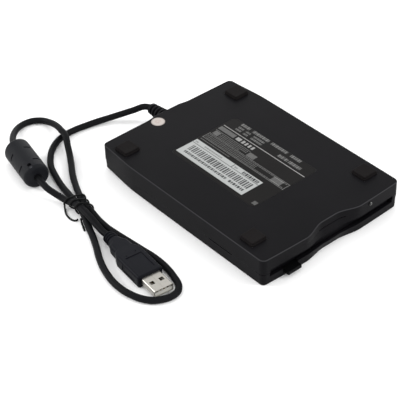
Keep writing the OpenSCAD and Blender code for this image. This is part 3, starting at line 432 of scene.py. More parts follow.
# Profile of (radius, distance) pairs turned round an axis through a place; axis 0, 1 or 2
def turnedPart(profile, place, axis, around=48, loop=False):
    r, d = np.array(profile, float).T
    t = np.linspace(0, 2 * np.pi, around, endpoint=False)
    u, v = np.outer(r, np.cos(t)), np.outer(r, np.sin(t))
    w = np.broadcast_to(d[:, None], u.shape)
    order = {0: (w, u, v), 1: (v, w, u), 2: (u, v, w)}[axis]
    points = np.stack([c.ravel() for c in order], 1) + np.array(place, float)
    faces = ringFaces(len(r), around, not loop)
    if loop:
        k = np.arange(around)
        last = (len(r) - 1) * around
        faces += np.stack([last + k, last + (k + 1) % around, (k + 1) % around, k], 1).tolist()
    return points * mm, faces


# Rounded rectangle outline: four quarter circles of radius r, n steps each
def roundedOutline(w, l, r, n=10):
    t = np.linspace(0, np.pi / 2, n)
    quarter = np.stack([np.cos(t), np.sin(t)], 1) * r
    spin = [np.array([[c, -s], [s, c]]) for c, s in ((1, 0), (0, 1), (-1, 0), (0, -1))]
    corner = np.array([(1, 1), (-1, 1), (-1, -1), (1, -1)]) * (w / 2 - r, l / 2 - r)
    return np.concatenate([quarter @ m.T + c for m, c in zip(spin, corner)])


# Pad of a rounded rectangle: outline shrunk by each inset at its height
def padPart(w, l, r, steps, place):
    rings = []
    for inset, z in steps:
        o = roundedOutline(w - 2 * inset, l - 2 * inset, max(0.05, r - inset))
        rings.append(np.column_stack([o, np.full(len(o), z)]))
    points = np.concatenate(rings) + np.array(place, float)
    return points * mm, ringFaces(len(steps), len(rings[0]))


# Cuts closed parts out of an object with an exact boolean and keeps the result as its mesh
def carve(target, parts, sharp):
    cutter = addMesh("cutter", *joined(parts), "case")
    cut = target.modifiers.new("cut", "BOOLEAN")
    cut.operation, cut.solver, cut.object, cut.use_self = "DIFFERENCE", "EXACT", cutter, True
    seen = target.evaluated_get(bpy.context.evaluated_depsgraph_get())
    data = bpy.data.meshes.new_from_object(seen)
    target.modifiers.clear()
    target.data = data
    bpy.data.objects.remove(cutter)
    data.polygons.foreach_set("use_smooth", np.full(len(data.polygons), True))
    data.set_sharp_from_angle(angle=math.radians(sharp))
    target.modifiers.new("evenNormals", "WEIGHTED_NORMAL").keep_sharp = True


caseFacts = {
    "width": 105.4, "depth": 144.4, "height": 18.2, "parting": 7.7, "wall": 1.6,
    "frontCorner": 3.5, "rearCorner": 3.2, "frontBow": 1.2, "rearTaper": 2.1, "hood": 1.2,
    "scoopTop": 4.6, "scoopLow": 2.8, "scoopHalf": 21.5, "belly": 980.0, "buttonReach": 2.7,
    "slotMargin": 5.2, "slotLow": 5.2, "slotHigh": 10.0, "rim": 0.7, "creaseZ": 13.75,
    "lipScoop": 2.6, "lipZ": 10.1, "creaseLeft": -8.8, "creaseRight": 11.2, "flatTail": 56.0,
    "taperFrom": 31.5, "taperRun": 32.0, "footSide": 9.7, "footFront": 19.75, "footRear": 14.75,
    "cordZ": 11.5,
}
c = caseFacts
# How far a cutter runs past the face it cuts, and a rib into the wall it stands on
over, bite = 1.0, 0.1
frontY = -(c["depth"] + c["buttonReach"] + c["hood"]) / 2 + c["buttonReach"]
rearY = frontY + c["depth"]
halfW = c["width"] / 2
slotHalf = halfW - c["slotMargin"]
flatEnd = rearY - c["flatTail"]
innerTop = c["height"] - c["wall"]
creaseZ, lipZ, lip = c["creaseZ"], c["lipZ"], c["lipScoop"]
footAt = [(sx * (halfW - c["footSide"]), y) for sx in (-1, 1)
          for y in (frontY + c["footFront"], rearY - c["footRear"])]
screwAt = [p for p in footAt if p[1] > 0]


# Cubic rise from 0 to 1 as t goes from 0 to 1, level at both ends
def smooth(t):
    u = np.clip(t, 0, 1)
    return u * u * (3 - 2 * u)


# Front edge: a shallow bow, pushed back by the scoop depth where its fade lets it
def frontEdge(x, scoop):
    fade = 1 - smooth((np.abs(x) - 5) / (c["scoopHalf"] - 5))
    return frontY + c["frontBow"] * (x / 50) ** 2 + scoop * fade


# Rear edge: nearly straight, with the bulge over the cord in the middle
def rearEdge(x):
    return rearY - 0.3 * (x / 50) ** 2 + c["hood"] * (1 - smooth((np.abs(x) - 8) / 9))


# Half width: full as far as the taper, then less by its depth times a cubic rise along it
def sideHalf(y):
    return halfW - c["rearTaper"] * smooth((y - (rearY - c["taperFrom"])) / c["taperRun"])


# Plan of the case at a scoop depth: right half from front middle to rear middle, then mirrored.
# Also the number of the rear middle point and of the point where the side begins.
def casePlan(scoop):
    frontSteps, cornerSteps = 64, 12

    def quarter(centre, r, a, b):
        t = np.radians(np.linspace(a, b, cornerSteps))
        return np.column_stack([centre[0] + r * np.cos(t), centre[1] + r * np.sin(t)])
    fr, rr = c["frontCorner"], c["rearCorner"]
    fx = halfW - fr
    x = np.linspace(0, fx, frontSteps)[:-1]
    y = np.concatenate([[flatEnd], np.linspace(rearY - 33, rearY - rr - 2, 14)])
    rh = sideHalf(rearY - rr)
    rc = (rh - rr, rearEdge(rh - rr) - rr)
    back = np.concatenate([np.linspace(rc[0], 17, 6)[1:], np.linspace(17, 8, 16)[1:], [4.0, 0.0]])
    half = np.concatenate([
        np.column_stack([x, frontEdge(x, scoop)]),
        quarter((fx, frontEdge(fx, 0) + fr), fr, -90, 0), np.column_stack([sideHalf(y), y]),
        quarter(rc, rr, 0, 90), np.column_stack([back, rearEdge(back)])])
    whole = np.concatenate([half, half[-2:0:-1] * (-1, 1)])
    return whole, len(half) - 1, frontSteps - 1 + cornerSteps


# Height by which the cover curves away from the table: an arc that starts level at flatEnd
def bellyRise(y):
    return np.where(y > flatEnd, c["belly"] - np.sqrt(c["belly"] ** 2 - (y - flatEnd) ** 2), 0.0)


# One ring of a moulding: the plan moved in square to itself by inset, lifted by the belly
def caseRing(inset, scoop, z):
    plan = casePlan(scoop)[0]
    t = np.roll(plan, -1, 0) - np.roll(plan, 1, 0)
    t /= np.linalg.norm(t, axis=1)[:, None]
    x, y = plan[:, 0] - inset * t[:, 1], plan[:, 1] + inset * t[:, 0]
    return np.column_stack([x, y, z + max(0.0, 1 - z / c["parting"]) * bellyRise(y)])


# Closed moulding through a chain of (inset, scoop, height) rings, its two ends capped by one
# flat face at the front and strips from side to side at the rear
def mouldingPart(chain):
    plan, half, flat = casePlan(0.0)
    n = len(plan)
    points = np.concatenate([caseRing(*step) for step in chain])
    faces = ringFaces(len(chain), n, False)
    strips = [[k % n for k in range(n - flat, n + flat + 1)]]
    strips += [[k, k + 1, n - k - 1, n - k] for k in range(flat, half - 1)]
    strips.append([half - 1, half, n - half + 1])
    last = (len(chain) - 1) * n
    faces += [s[::-1] for s in strips] + [[v + last for v in s] for s in strips]
    return points * mm, faces


# Points of a rounded edge of radius r from the side to the top, as (inset, height) pairs
def edgeRound(r, top, n=7):
    t = np.linspace(0, np.pi / 2, n)
    return [(r * (1 - math.cos(a)), top - r + r * math.sin(a)) for a in t]


parting, top, wall = c["parting"], c["height"], c["wall"]
scoopTop, scoopLow = c["scoopTop"], c["scoopLow"]
crease = scoopTop - 0.7
coverRim, tongue = 0.8, parting + 1.2
# Rows of (inset, scoop, height), from the inside round the edge to the outside
baseChain = [(wall, scoopTop, innerTop), (wall, crease, creaseZ + 0.6), (wall, lip, lipZ),
             (wall, 0.2, parting), (0.28, 0.2, parting), (0.14, 0.2, parting + 0.05),
             (0.04, 0.2, parting + 0.16), (0, 0.2, parting + 0.3), (0, lip, lipZ),
             (0, lip + 0.45 * (crease - lip), 0.5 * (lipZ + creaseZ)),
             (0, crease - 0.05, creaseZ - 0.06), (0, crease, creaseZ),
             (0.0, crease + 0.02, creaseZ + 0.1), (0, scoopTop - 0.06, top - 1.1)]
baseChain += [(i, scoopTop, z) for i, z in edgeRound(c["rim"], top)]
baseChain += [(0.9, scoopTop, top), (2.0, scoopTop, top)]
# The same rows for the cover, from the outside round the parting line to the inside
coverChain = [(3.0, scoopLow, 0.0), (1.3, scoopLow, 0.0)]
coverChain += [(0.5 + i, scoopLow - 0.35 * (1 - i / coverRim), coverRim - z)
               for i, z in reversed(edgeRound(coverRim, coverRim))]
coverChain += [(0.42, 1.8, 3.0), (0.35, 1.2, 5.2), (0.25, 0.9, parting - 0.3),
               (0.27, 0.86, parting - 0.16), (0.36, 0.82, parting - 0.04), (0.5, 0.8, parting),
               (wall + 0.1, 0.8, parting), (wall + 0.1, 0.8, tongue), (wall + 1, 0.8, tongue),
               (wall + 1, 1.2, 5.2), (wall + 1, scoopLow, wall)]


# Tube standing on a place, open in the middle: a rectangle turned round the height
def sleevePart(place, inner, outer, low, high):
    return turnedPart([(inner, low), (outer, low), (outer, high), (inner, high)], place, 2, 40, True)


# Block between two corners whose y is counted from the front
def frontBlock(low, high):
    return boxPart(*((x, frontY + y, z) for x, y, z in (low, high)))


# A block at each side between two distances from the side face, from (y, z) to (y, z)
def sideBlocks(near, far, start, end):
    return [boxPart((a, *start), (b, *end))
            for a, b in ((halfW - far, halfW - near), (near - halfW, far - halfW))]


hubY = frontY + 52.75
baseFacts = {
    # Bore, boss, head's well and its depth, then a pin's bore, outside and lowest height
    "screw": (1.35, 4.2, 2.9, 4.2), "pin": (1.1, 3.0, 12.0), "pinAt": (43, 64),
    "slotDeep": 5, "slotRise": 1.8, "panel": (51, 72, 3), "panelY": 3.7, "panelDeep": 0.2,
    "lensDeep": 7, "creaseDeep": 0.7, "creaseHigh": 0.42, "pit": 5.7, "pitDeep": 0.3,
    "neck": (3.1, 5, 3), "hookSlot": (1, 1.8, (7, 9), (17, 10.2)), "corner": (0.8, 0.26),
    # Stop and rail under the inner face: (x span, y span from the hub, lowest height)
    "ribs": (((22, 28), (-42.5, -40.4), 14.4), ((30, 44), (-38, 60), 16.3)),
}
b = baseFacts
bore, bossR, well, wellDeep = b["screw"]
pinX, pinY = b["pinAt"]
ribTop = innerTop + bite
baseParts = [mouldingPart(baseChain)]
baseParts += [sleevePart((x, y, 0), bore, bossR, parting, ribTop) for x, y in screwAt]
baseParts += [sleevePart((x, hubY + pinY, 0), *b["pin"], ribTop) for x in (-pinX, pinX)]
for sx in (-1, 1):
    for xs, ys, low in b["ribs"]:
        left, right = sorted((xs[0] * sx, xs[1] * sx))
        baseParts.append(boxPart((left, hubY + ys[0], low), (right, hubY + ys[1], ribTop)))
neck, neckIn, neckOut = b["neck"]
neckCut = [turnedPart([(neck, -neckIn), (neck, neckOut)], (0, rearY, c["cordZ"]), 1)]
(lensX, lensZ), lensR = lensFacts["centre"], lensFacts["radius"]
creaseY, creaseTop = frontY + crease + b["creaseDeep"], creaseZ + b["creaseHigh"]
baseCuts = [frontBlock((-slotHalf, -over, c["slotLow"] + b["slotRise"]),
                       (slotHalf, b["slotDeep"], c["slotHigh"])),
            padPart(*b["panel"], [(0, 0), (0, over)], (0, b["panelY"], top - b["panelDeep"])),
            turnedPart([(lensR, -over), (lensR, b["lensDeep"])], (lensX, frontY, lensZ), 1),
            boxPart((c["creaseLeft"], frontY - over, creaseZ),
                    (c["creaseRight"], creaseY, creaseTop))]
pit = b["pit"]
baseCuts += [boxPart((x - pit, y - pit, top - b["pitDeep"]), (x + pit, y + pit, top + over))
             for x, y in footAt]
wellZ = top - wellDeep
wellLine = [(bore, innerTop - over), (bore, wellZ), (well, wellZ), (well, top + over)]
baseCuts += [turnedPart(wellLine, (x, y, 0), 2) for x, y in screwAt]
near, far, start, end = b["hookSlot"]
baseCuts += sideBlocks(near, far, (frontY + start[0], start[1]), (frontY + end[0], end[1]))
baseCuts += [boxPart((-neck, rearY - neckIn, parting - over), (neck, rearY + neckOut, c["cordZ"]))]
baseCuts += neckCut
# The parting line opens a little round both front corners
cornerR, (cornerIn, slitHalf) = c["frontCorner"], b["corner"]
cornerY = float(frontEdge(halfW - cornerR, 0)) + cornerR
inR, outR, low, high = cornerR - cornerIn, cornerR + over, parting - slitHalf, parting + slitHalf
slit = [(inR, low), (outR, low), (outR, high), (inR, high)]
cornerCuts = [turnedPart(slit, (sx * (halfW - cornerR), cornerY, 0), 2, 64, True) for sx in (-1, 1)]
baseShell = addMesh("baseShell", *joined(baseParts), "case", 40)
carve(baseShell, baseCuts + cornerCuts, 34)
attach(baseShell, "drive")
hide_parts("base_case")
print("base moulding,", len(baseShell.data.polygons), "faces")

coverFacts = {
    "bore": 1.25, "boreLow": 3.4, "bossLow": 1.65, "hook": (1.7, 2.8, 8, 16, 10), "hookSink": 2,
    # The disk slot, the door's sill, the button's slot and the slit in the left side
    "cuts": (((-slotHalf, -over, c["slotLow"]), (slotHalf, 6.5, 12)),
             ((0.9 - slotHalf, 3.1, 2.9), (slotHalf - 0.9, 6, 6)),
             ((-37.8, -over, 2.1), (-27.2, 5, 6)),
             ((-halfW - over, 26.7, 7.0), (-halfW + 1.4, 45.7, 9))),
}
f = coverFacts
boss = [(f["bore"], f["boreLow"]), (bossR, f["bossLow"]), (bossR, parting), (f["bore"], parting)]
coverParts = [mouldingPart(coverChain)]
coverParts += [turnedPart(boss, (x, y, 0), 2, 40, True) for x, y in screwAt]
near, far, start, end, hookTop = f["hook"]
coverParts += sideBlocks(near, far, (frontY + start, parting - f["hookSink"]),
                         (frontY + end, hookTop))
coverCuts = [frontBlock(*cut) for cut in f["cuts"]]
coverShell = addMesh("coverShell", *joined(coverParts), "case", 40)
carve(coverShell, coverCuts + cornerCuts + neckCut, 34)
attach(coverShell, "drive")
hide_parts("top_cover")
print("cover,", len(coverShell.data.polygons), "faces")

footFacts = {"size": 11.1, "corner": 1.3, "flange": 0.7, "height": 2.0, "step": 0.45, "sunk": 0.3,
             "round": 0.45}


# Foot: a low flange, then a step in to a pad whose upper edge is a quarter circle
def footPad(name, x, y):
    f = footFacts
    ledge = f["sunk"] + f["flange"]
    steps = [(0, 0), (0, ledge - 0.15), (0.05, ledge - 0.05), (0.15, ledge),
             (f["step"] - 0.05, ledge), (f["step"], 0.35 + f["flange"])]
    steps += [(f["step"] + i, z + f["sunk"]) for i, z in edgeRound(f["round"], f["height"], 6)]
    steps += [(f["step"] + 0.9, f["sunk"] + f["height"])]
    part = padPart(f["size"], f["size"], f["corner"], steps, (x, y, top - f["sunk"]))
    pad = addMesh(name, *part, "foot", 50)
    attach(pad, "drive")
    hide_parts({"footPadFl": "rubber_foot_fl", "footPadRl": "rubber_foot_rl",
                      "footPadFr": "rubber_foot_fr", "footPadRr": "rubber_foot_rr"}[name])


for name, (x, y) in zip(("footPadFl", "footPadRl", "footPadFr", "footPadRr"), footAt):
    footPad(name, x, y)


# Round sticker: a thin disc with softened edges on the case
def stickerDisc(facts):
    r = facts["radius"]
    profile = [(r, top - 0.02), (r, top + 0.08), (r - 0.03, top + 0.12)]
    made = addMesh("sealDisc", *turnedPart(profile, (*facts["centre"], 0), 2, 72), "sticker", 50)
    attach(made, "drive")
    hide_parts("round_sticker")


stickerDisc(stickerFacts)


# Smooth line through points: each span blends its end slopes by a cubic, then evenly spaced
def smoothLine(points, step):
    p = np.asarray(points, float)
    chord = np.concatenate([[0.0], np.cumsum(np.linalg.norm(np.diff(p, axis=0), axis=1))])
    slope = np.gradient(p, chord, axis=0)
    t = np.linspace(0, chord[-1], int(chord[-1] / step * 4))
    i = np.clip(np.searchsorted(chord, t, side="right") - 1, 0, len(p) - 2)
    h = (chord[i + 1] - chord[i])[:, None]
    u = ((t - chord[i]) / (chord[i + 1] - chord[i]))[:, None]
    line = ((2 * u ** 3 - 3 * u ** 2 + 1) * p[i] + (u ** 3 - 2 * u ** 2 + u) * h * slope[i]
            + (3 * u ** 2 - 2 * u ** 3) * p[i + 1] + (u ** 3 - u ** 2) * h * slope[i + 1])
    run = np.concatenate([[0.0], np.cumsum(np.linalg.norm(np.diff(line, axis=0), axis=1))])
    even = np.linspace(0, run[-1], max(2, int(run[-1] / step) + 1))
    return np.stack([np.interp(even, run, line[:, n]) for n in range(3)], 1)


# Round tube: a circle of radius r carried square to the line. The first side is kept from ring
# to ring by taking out only the part that lies along the line.
def tubePoints(line, radius, around, start=(0.0, 0.0, 1.0)):
    heading = np.gradient(line, axis=0)
    heading /= np.linalg.norm(heading, axis=1)[:, None]
    sides = np.empty_like(line)
    held = np.asarray(start, float)
    for i, h in enumerate(heading):
        held = held - (held @ h) * h
        held /= np.linalg.norm(held)
        sides[i] = held
    other = np.cross(heading, sides)
    angle = np.linspace(0, 2 * np.pi, around, endpoint=False)
    r = np.broadcast_to(np.asarray(radius, float), (len(line),))[:, None, None]
    ring = (np.cos(angle)[None, :, None] * sides[:, None, :]
            + np.sin(angle)[None, :, None] * other[:, None, :])
    return (line[:, None, :] + r * ring).reshape(-1, 3)


# The cord, its route repeated from the part's source, in millimetres
cordFacts = {
    "diameter": 4.0, "around": 28, "step": 0.8,
    "route": [
        (0, 69, 11.5), (0, 80, 11.5), (0, 90.3, 11.5), (-2, 94.3, 10.9), (-7, 98, 8.9),
        (-13, 103, 6.2), (-19.5, 108, 3.6), (-26.5, 111.5, 2.3), (-33, 113, 2), (-40, 114, 2),
        (-48, 114, 2), (-56, 112, 2), (-64, 107, 2), (-70.5, 100, 2), (-75, 93, 2), (-78, 85, 2),
        (-81, 75, 2.1), (-83.5, 63, 2.6), (-85, 55, 3.1), (-87, 47, 3.1), (-89.5, 40, 3),
        (-92.5, 32.5, 2), (-96, 24, 2), (-100, 15.5, 2), (-104.5, 7, 2), (-109, -5, 2),
        (-111, -15.5, 2), (-110.5, -26, 2), (-108, -34, 2), (-104.5, -39.2, 2), (-99.7, -42.3, 2),
        (-94.6, -43.8, 2), (-89.8, -43, 2), (-86.3, -39.6, 2), (-83.9, -33, 2), (-82, -24, 2),
        (-81.5, -13, 2), (-82.5, -3, 2), (-83.5, 7, 2), (-84.5, 17, 2),
        (-85, 26, 2), (-84.5, 34, 2.2), (-83.5, 42, 3), (-82.5, 49, 3.1), (-80.5, 56, 3.1),
        (-77.5, 63, 2.4), (-74, 70.5, 2), (-69.5, 79, 2), (-64.5, 87, 2), (-60, 94.5, 2.7),
        (-56, 102, 4.6), (-53.5, 106.5, 5.8), (-52, 110.5, 6.3), (-51.5, 114, 6.3),
        (-50.5, 118, 5.8), (-49.5, 124, 4.6), (-49.5, 130, 3.3), (-51, 136, 2.2),
        (-55.5, 139.8, 2), (-61, 140.8, 2), (-67, 138.8, 2.8), (-73, 134, 4.4),
        (-78.5, 127.5, 6.2), (-82, 121.5, 7.6), (-84.1, 115.9, 8), (-91.1, 83.1, 8),
 (-92, 77.5, 7.7), (-92, 72, 6.6), (-90.8, 67, 5.4), (-89.4, 62, 4.3),
        (-88.8, 57, 4.4), (-88.5, 51.5, 6.3), (-88.4, 46, 7.1), (-89.1, 40, 7.1), (-89.7, 34, 6.6),
        (-90.2, 28, 5.3), (-90.5, 22.5, 4.3), (-90.45, 16.5, 4),
    ],
}
route = np.array(cordFacts["route"], float)
cordLine = smoothLine(route * mm, cordFacts["step"] * mm)
cordPoints = tubePoints(cordLine, cordFacts["diameter"] / 2 * mm, cordFacts["around"])
cordFaces = ringFaces(len(cordLine), cordFacts["around"])
cordTube = addMesh("cordTube", cordPoints, cordFaces, "cord", 60)
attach(cordTube, "drive")
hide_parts("usb_cord")

tieFacts = {
    "wire": 1.1, "turns": 3, "start": 57.5, "pitch": 5.2, "slack": 0.08, "around": 10,
    # Angle of the first touch, and half the step between the two lines crossed at each touch
    "from": 210, "lean": 4,
    "strands": [(14, 23), (40, 48), (66, 76)],
    "tailA": [(-92, 43.8, 0.6), (-93.3, 43.7, 0.5), (-94.5, 45.4, 0.5), (-94.8, 48.2, 0.5),
              (-94.4, 50.9, 0.5), (-93.4, 53.6, 0.5), (-92.3, 55.6, 0.6), (-91.5, 57, 1)],
    "tailB": [(-91.6, 40.9, 1.1), (-92.5, 39.4, 1.1), (-93.3, 37.4, 0.8), (-94.3, 35.2, 0.5),
              (-95.2, 33.2, 0.5)],
}


# Where the strand given by its route points crosses the plane at y, as (x, z)
def strandAt(y, ends):
    p = route[ends[0]:ends[1] + 2]
    if p[0, 1] > p[-1, 1]:
        p = p[::-1]
    return np.array([np.interp(y, p[:, 1], p[:, 0]), np.interp(y, p[:, 1], p[:, 2])])


# Tie: at each angle it touches the line that just holds all three strands, as a belt does,
# moving along the bundle by the pitch each turn, with a loose tail at either end
def tieLine(facts):
    hold = cordFacts["diameter"] / 2 + facts["wire"] / 2 + facts["slack"]
    k = math.radians(facts["lean"])
    w = math.sin(2 * k)
    turns = []
    for u in np.linspace(0, facts["turns"], facts["turns"] * 64 + 1):
        y = facts["start"] - facts["pitch"] * u
        at = [strandAt(y, s) for s in facts["strands"]]
        a = math.radians(facts["from"] - 360 * u)
        h1, h2 = (max(p @ (math.cos(n), math.sin(n)) for p in at) + hold for n in (a - k, a + k))
        x = (h1 * math.sin(a + k) - h2 * math.sin(a - k)) / w
        z = (h2 * math.cos(a - k) - h1 * math.cos(a + k)) / w
        turns.append((x, y, max(facts["wire"] / 2 + 0.02, z)))
    whole = np.array(facts["tailA"] + turns + facts["tailB"]) * mm
    return smoothLine(whole, 0.25 * mm)


line = tieLine(tieFacts)
tiePoints = tubePoints(line, tieFacts["wire"] / 2 * mm, tieFacts["around"])
tieWire = addMesh("tieWire", tiePoints, ringFaces(len(line), tieFacts["around"]), "tie", 60)
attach(tieWire, "drive")
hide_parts("twist_tie")
print("cord and tie made")


# Notch of unit depth: 1 at its middle, falling to 0 over half its width, flat at the bottom
def notch(s, middle, width):
    return np.exp(-(2.2 * np.abs(s - middle) / width) ** 4)


# Turns a part that was made along +Y at the origin into place: about Y first, then in plan
def placed(part, place, turn, roll=0.0):
    points, faces = part
    r, t = math.radians(roll), math.radians(turn)
    about = np.array([[math.cos(r), 0, math.sin(r)], [0, 1, 0], [-math.sin(r), 0, math.cos(r)]])
    plan = np.array([[math.cos(t), -math.sin(t), 0], [math.sin(t), math.cos(t), 0], [0, 0, 1]])
    return points @ about.T @ plan.T + np.array(place) * mm, faces


reliefFacts = {"length": 15.0, "root": 5.0, "taper": 1.5, "tip": 0.5, "neck": 3.1, "bore": 2.02,
               "collar": 4.2, "grooves": (2.65, 5.8, 8.8, 11.8), "width": 1.5, "depth": 1.35}


# Strain relief: a cone that loses the taper over its length, with a rounded notch at each groove,
# a round tip and a neck with a collar inside the case, turned round the cord
def strainRelief(facts):
    neck, bore, collar, tipLong = (facts[k] for k in ("neck", "bore", "collar", "tip"))
    s = np.linspace(0.0, facts["length"] - tipLong, 200)
    cut = sum(notch(s, g, facts["width"]) for g in facts["grooves"])
    r = facts["root"] - facts["taper"] * s / facts["length"] - facts["depth"] * cut
    r -= 0.35 * np.exp(-s / 0.12)
    tip = [(3.5 - 0.9 * (1 - math.cos(a)), facts["length"] - tipLong + tipLong * math.sin(a))
           for a in np.linspace(0.2, np.pi / 2, 6)]
    profile = [(bore, -4.2), (collar, -4.2), (collar, -3.0), (neck, -2.98), (neck, -0.02)]
    profile += list(zip(r, s)) + tip + [(bore, facts["length"])]
    part = turnedPart(profile, (0, rearY + c["hood"], c["cordZ"]), 1, 56, True)
    made = addMesh("strainSleeve", *part, "cord", 50)
    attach(made, "drive")
    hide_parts("cord_strain_relief")
    return made


relief = strainRelief(reliefFacts)

ferriteFacts = {"radius": 8.0, "half": 16.3, "fillet": 2.4, "place": (-87.6, 99.5, 8.0),
                "turn": math.degrees(math.atan2(32.8, 7.0)) - 90.0, "roll": -20.5, "spread": 45.5,
                "marks": (-8.3, 5.0), "bore": 2.3, "hollow": 6.4, "endWall": 2.6,
                "mark": (2.3, 0.55, 1.6), "hole": (2.3, 4.6, 1.0), "holeDeep": 2.0, "holeFrom": 3.4}


# Ferrite housing: a can with quarter round edges, hollow for the core, with short cross slots
# at an even angle to both sides of its upper middle and a latch hole near one end
def ferriteHousing(facts):
    r, h, f = facts["radius"], facts["half"], facts["fillet"]
    t = np.linspace(0, np.pi / 2, 10)
    edge = [(r - f + f * math.sin(a), f * (1 - math.cos(a)) - h) for a in t]
    bore, hollow, inner = facts["bore"], facts["hollow"], h - facts["endWall"]
    profile = [(bore, -h)] + edge + [(r, h * k) for k in (-0.6, -0.2, 0.2, 0.6)]
    profile += [(a, -z) for a, z in edge[::-1]]
    profile += [(bore, h), (bore, inner), (hollow, inner), (hollow, -inner), (bore, -inner)]
    place, turn, roll = facts["place"], facts["turn"], facts["roll"]
    can = placed(turnedPart(profile, (0, 0, 0), 1, 96, True), place, turn, roll)
    made = addMesh("ferriteHousing", *can, "ferrite", 50)
    long, wide, deep = facts["mark"]
    cuts = []
    for y in facts["marks"]:
        for a in (-facts["spread"], facts["spread"]):
            slot = boxPart((-long, y - wide, r - deep), (long, y + wide, r + over))
            cuts.append(placed(slot, place, turn, roll + a))
    hole = padPart(*facts["hole"], [(0, r - facts["holeDeep"]), (0, r + over)],
                   (0, facts["holeFrom"] - h, 0))
    cuts.append(placed(hole, place, turn, roll))
    carve(made, cuts, 40)
    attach(made, "drive")
    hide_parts("ferrite_shell_upper", "ferrite_shell_lower")
    return made


ferrite = ferriteHousing(ferriteFacts)

plugFacts = {
    "place": (-90.3, 18.25, 4.0), "turn": -5.9, "around": 14, "shell": (12, 4.5, 0.75),
    "sections": [(1.5, 3.7, 3.6, 3.5), (8.0, 4.1, 3.85, 3.8), (10.0, 4.6, 3.85, 3.5),
                 (12.6, 5.7, 3.85, 2.4), (18.2, 5.9, 3.85, 2.0), (19.6, 6.7, 3.9, 1.7),
                 (23.0, 8.0, 4.0, 1.5), (44.7, 8.0, 4.0, 1.5)],
    "grooves": (3.0, 4.9, 6.8), "width": 1.15, "depth": 0.95, "dots": ((3.1, 25.0), (-3.4, 26.1)),
}


# Ring of a plug part: a rounded rectangle across it at y, n steps to a corner
def plugRing(w, h, r, y, n):
    o = roundedOutline(w, h, r, n)
    return np.column_stack([o[:, 0], np.full(len(o), y), o[:, 1]])


# Plug body: rounded rectangle sections along -Y. Half width, half height and corner radius are
# straight between the listed sections, averaged over 0.9 mm to round the shoulders, and the neck
# is drawn in by a notch at each groove.
def plugBody(facts):
    s = np.concatenate([np.arange(1.5, 9.0, 0.09), np.arange(9.0, 44.71, 0.35), [44.7]])
    table = np.array(facts["sections"])
    spread = np.linspace(-0.45, 0.45, 7)[:, None]
    w, h, r = (np.interp(s + spread, table[:, 0], table[:, k]).mean(0) for k in (1, 2, 3))
    cut = facts["depth"] * sum(notch(s, g, facts["width"]) for g in facts["grooves"])
    tip = 0.7 * (1 - np.sqrt(np.clip(1 - ((s - 44.0) / 0.7).clip(0, 1) ** 2, 0, 1)))
    start = 0.6 * (1 - np.sqrt(np.clip(1 - ((2.1 - s) / 0.6).clip(0, 1) ** 2, 0, 1)))
    shrink = cut + tip + start
    sizes = zip(s, w - shrink, h - shrink, np.maximum(r - 0.5 * shrink, 0.5))
    rings = [plugRing(2 * wk, 2 * hk, min(rk, hk - 0.02, wk - 0.02), -sk, facts["around"])
             for sk, wk, hk, rk in sizes]
    body =(np.concatenate(rings) * mm, ringFaces(len(s), 4 * facts["around"]))
    place, turn = facts["place"], facts["turn"]
    made = addMesh("plugBody", *placed(body, place, turn), "plug", 50)
    # The cord's bore, the shell's pocket, a panel in each wide face and a grip in each side
    cuts = [turnedPart([(2.0, -9.0), (2.0, 1.0)], (0, 0, 0), 1, 48),
            boxPart((-6, -50, -2.25), (6, -34, 2.25))]
    cuts += [boxPart((-5, -41.5, z), (5.2, -27.5, z + 1.35)) for z in (3.65, -5.0)]
    cuts += [boxPart((x, -40.5, -2.0), (x + 1.3, -28.5, 2.0)) for x in (-9, 7.7)]
    cuts += [turnedPart([(0.4, 3.7), (0.4, 5.0)], (x, -y, 0), 2, 16) for x, y in facts["dots"]]
    carve(made, [placed(cut, place, turn) for cut in cuts], 40)
    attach(made, "drive")
    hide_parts("plug_overmould")
    return made


plug = plugBody(plugFacts)


# Plug shell: a folded sheet tube, its outer and inner rounded sections joined at both ends,
# with two square windows in each wide face and the seam of the fold along one of them
def plugShell(facts):
    steps = [(0.0, -34.0), (0.0, -57.75), (0.08, -57.9), (0.3, -57.9), (0.3, -34.0)]
    w, h, r = facts["shell"]
    rings = [plugRing(w - 2 * i, h - 2 * i, r - i, y, 8) for i, y in steps]
    n = len(rings[0])
    faces = ringFaces(len(steps), n, False)
    k = np.arange(n)
    faces += np.stack([4 * n + k, 4 * n + (k + 1) % n, (k + 1) % n, k], 1).tolist()
    tube = (np.concatenate(rings) * mm, faces)
    place, turn = facts["place"], facts["turn"]
    made = addMesh("plugShell", *placed(tube, place, turn), "nickel", 30)
    cuts = [boxPart((x - 1.3, -52.4, -3), (x + 1.3, -49.8, 3)) for x in (-3, 3)]
    cuts.append(boxPart((-0.07, -60, 2.12), (0.07, -30, 3)))
    carve(made, [placed(cut, place, turn) for cut in cuts], 30)
    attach(made, "drive")
    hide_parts("plug_shell")
    return made


shell = plugShell(plugFacts)
print("relief, ferrite and plug made")

buttonFacts = {"left": -37.5, "width": 10.0, "low": 2.4, "height": 2.5, "round": 0.45}


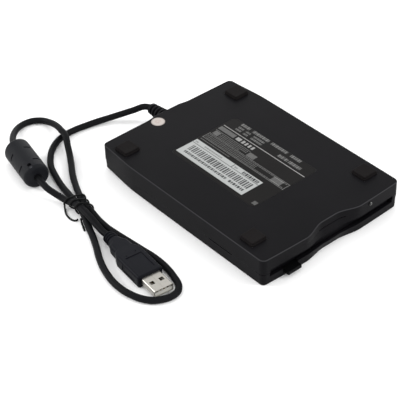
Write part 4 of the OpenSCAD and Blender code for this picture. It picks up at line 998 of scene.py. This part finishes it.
# Eject button: the thumb piece with rounded edges, on a flat stem that ends in an upright tab
def ejectButton(facts):
    left, low = facts["left"], facts["low"]
    right = left + facts["width"]
    end = hubY - 38
    parts = [boxPart((left, frontY - c["buttonReach"], low),
                     (right, frontY + 2.9, low + facts["height"])),
             boxPart((left + 2, frontY + 2.8, low - bite), (right - 2, end, low + 0.7)),
             boxPart((left + 2, end - 2, low - bite), (right - 2, end, 3.6))]
    made = addMesh("thumbPiece", *joined(parts), "button", 30)
    bevel = made.modifiers.new("soft", "BEVEL")
    bevel.width, bevel.segments, bevel.limit_method = facts["round"] * mm, 4, "ANGLE"
    made.modifiers.new("evenNormals", "WEIGHTED_NORMAL").keep_sharp = True
    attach(made, "slide")
    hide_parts("eject_button")


ejectButton(buttonFacts)

# Floor and light
floorSize = 6.0
floorPoints = np.array([(-1, -1, 0), (1, -1, 0), (1, 1, 0), (-1, 1, 0)]) * floorSize
g = Graph("paper")
floorTone = g.noise(g.position(), 3.0)
materials["paper"] = g.finish(Base_Color=g.mix(floorTone, (0.94, 0.94, 0.94), (0.95, 0.95, 0.95)),
                              Roughness=0.9, Specular_IOR_Level=0.1)
floor = addMesh("floor", floorPoints, [[0, 1, 2, 3]], "paper")

# Each box is (place, size, power)
light = {"world": 1.24, "aim": (-0.03, 0.02, 0.0), "boxes": {
    "keyBox": ((-1.25, 1.2, 1.0), 0.25, 14.0), "fillBox": ((1.0, -1.25, 1.2), 0.25, 12.0),
    "backBox": ((1.05, 1.5, 0.6), 0.9, 2.5)}}
world = bpy.data.worlds.new("studio")
bpy.context.scene.world = world
world.use_nodes = True
sky = world.node_tree.nodes["Background"].inputs
sky[0].default_value = (1, 1, 1, 1)
sky[1].default_value = light["world"]
bpy.context.scene.view_settings.view_transform = "Standard"


# Soft box: a square area lamp at a place, aimed at the middle of the drive
def softBox(name, place, size, power):
    lamp = bpy.data.lights.new(name, "AREA")
    lamp.size = size
    lamp.energy = power
    made = bpy.data.objects.new(name, lamp)
    bpy.context.scene.collection.objects.link(made)
    aim = Vector(light["aim"]) - Vector(place)
    made.location = place
    made.rotation_euler = aim.to_track_quat("-Z", "Y").to_euler()


for name, box in light["boxes"].items():
    softBox(name, *box)
print("stage set")
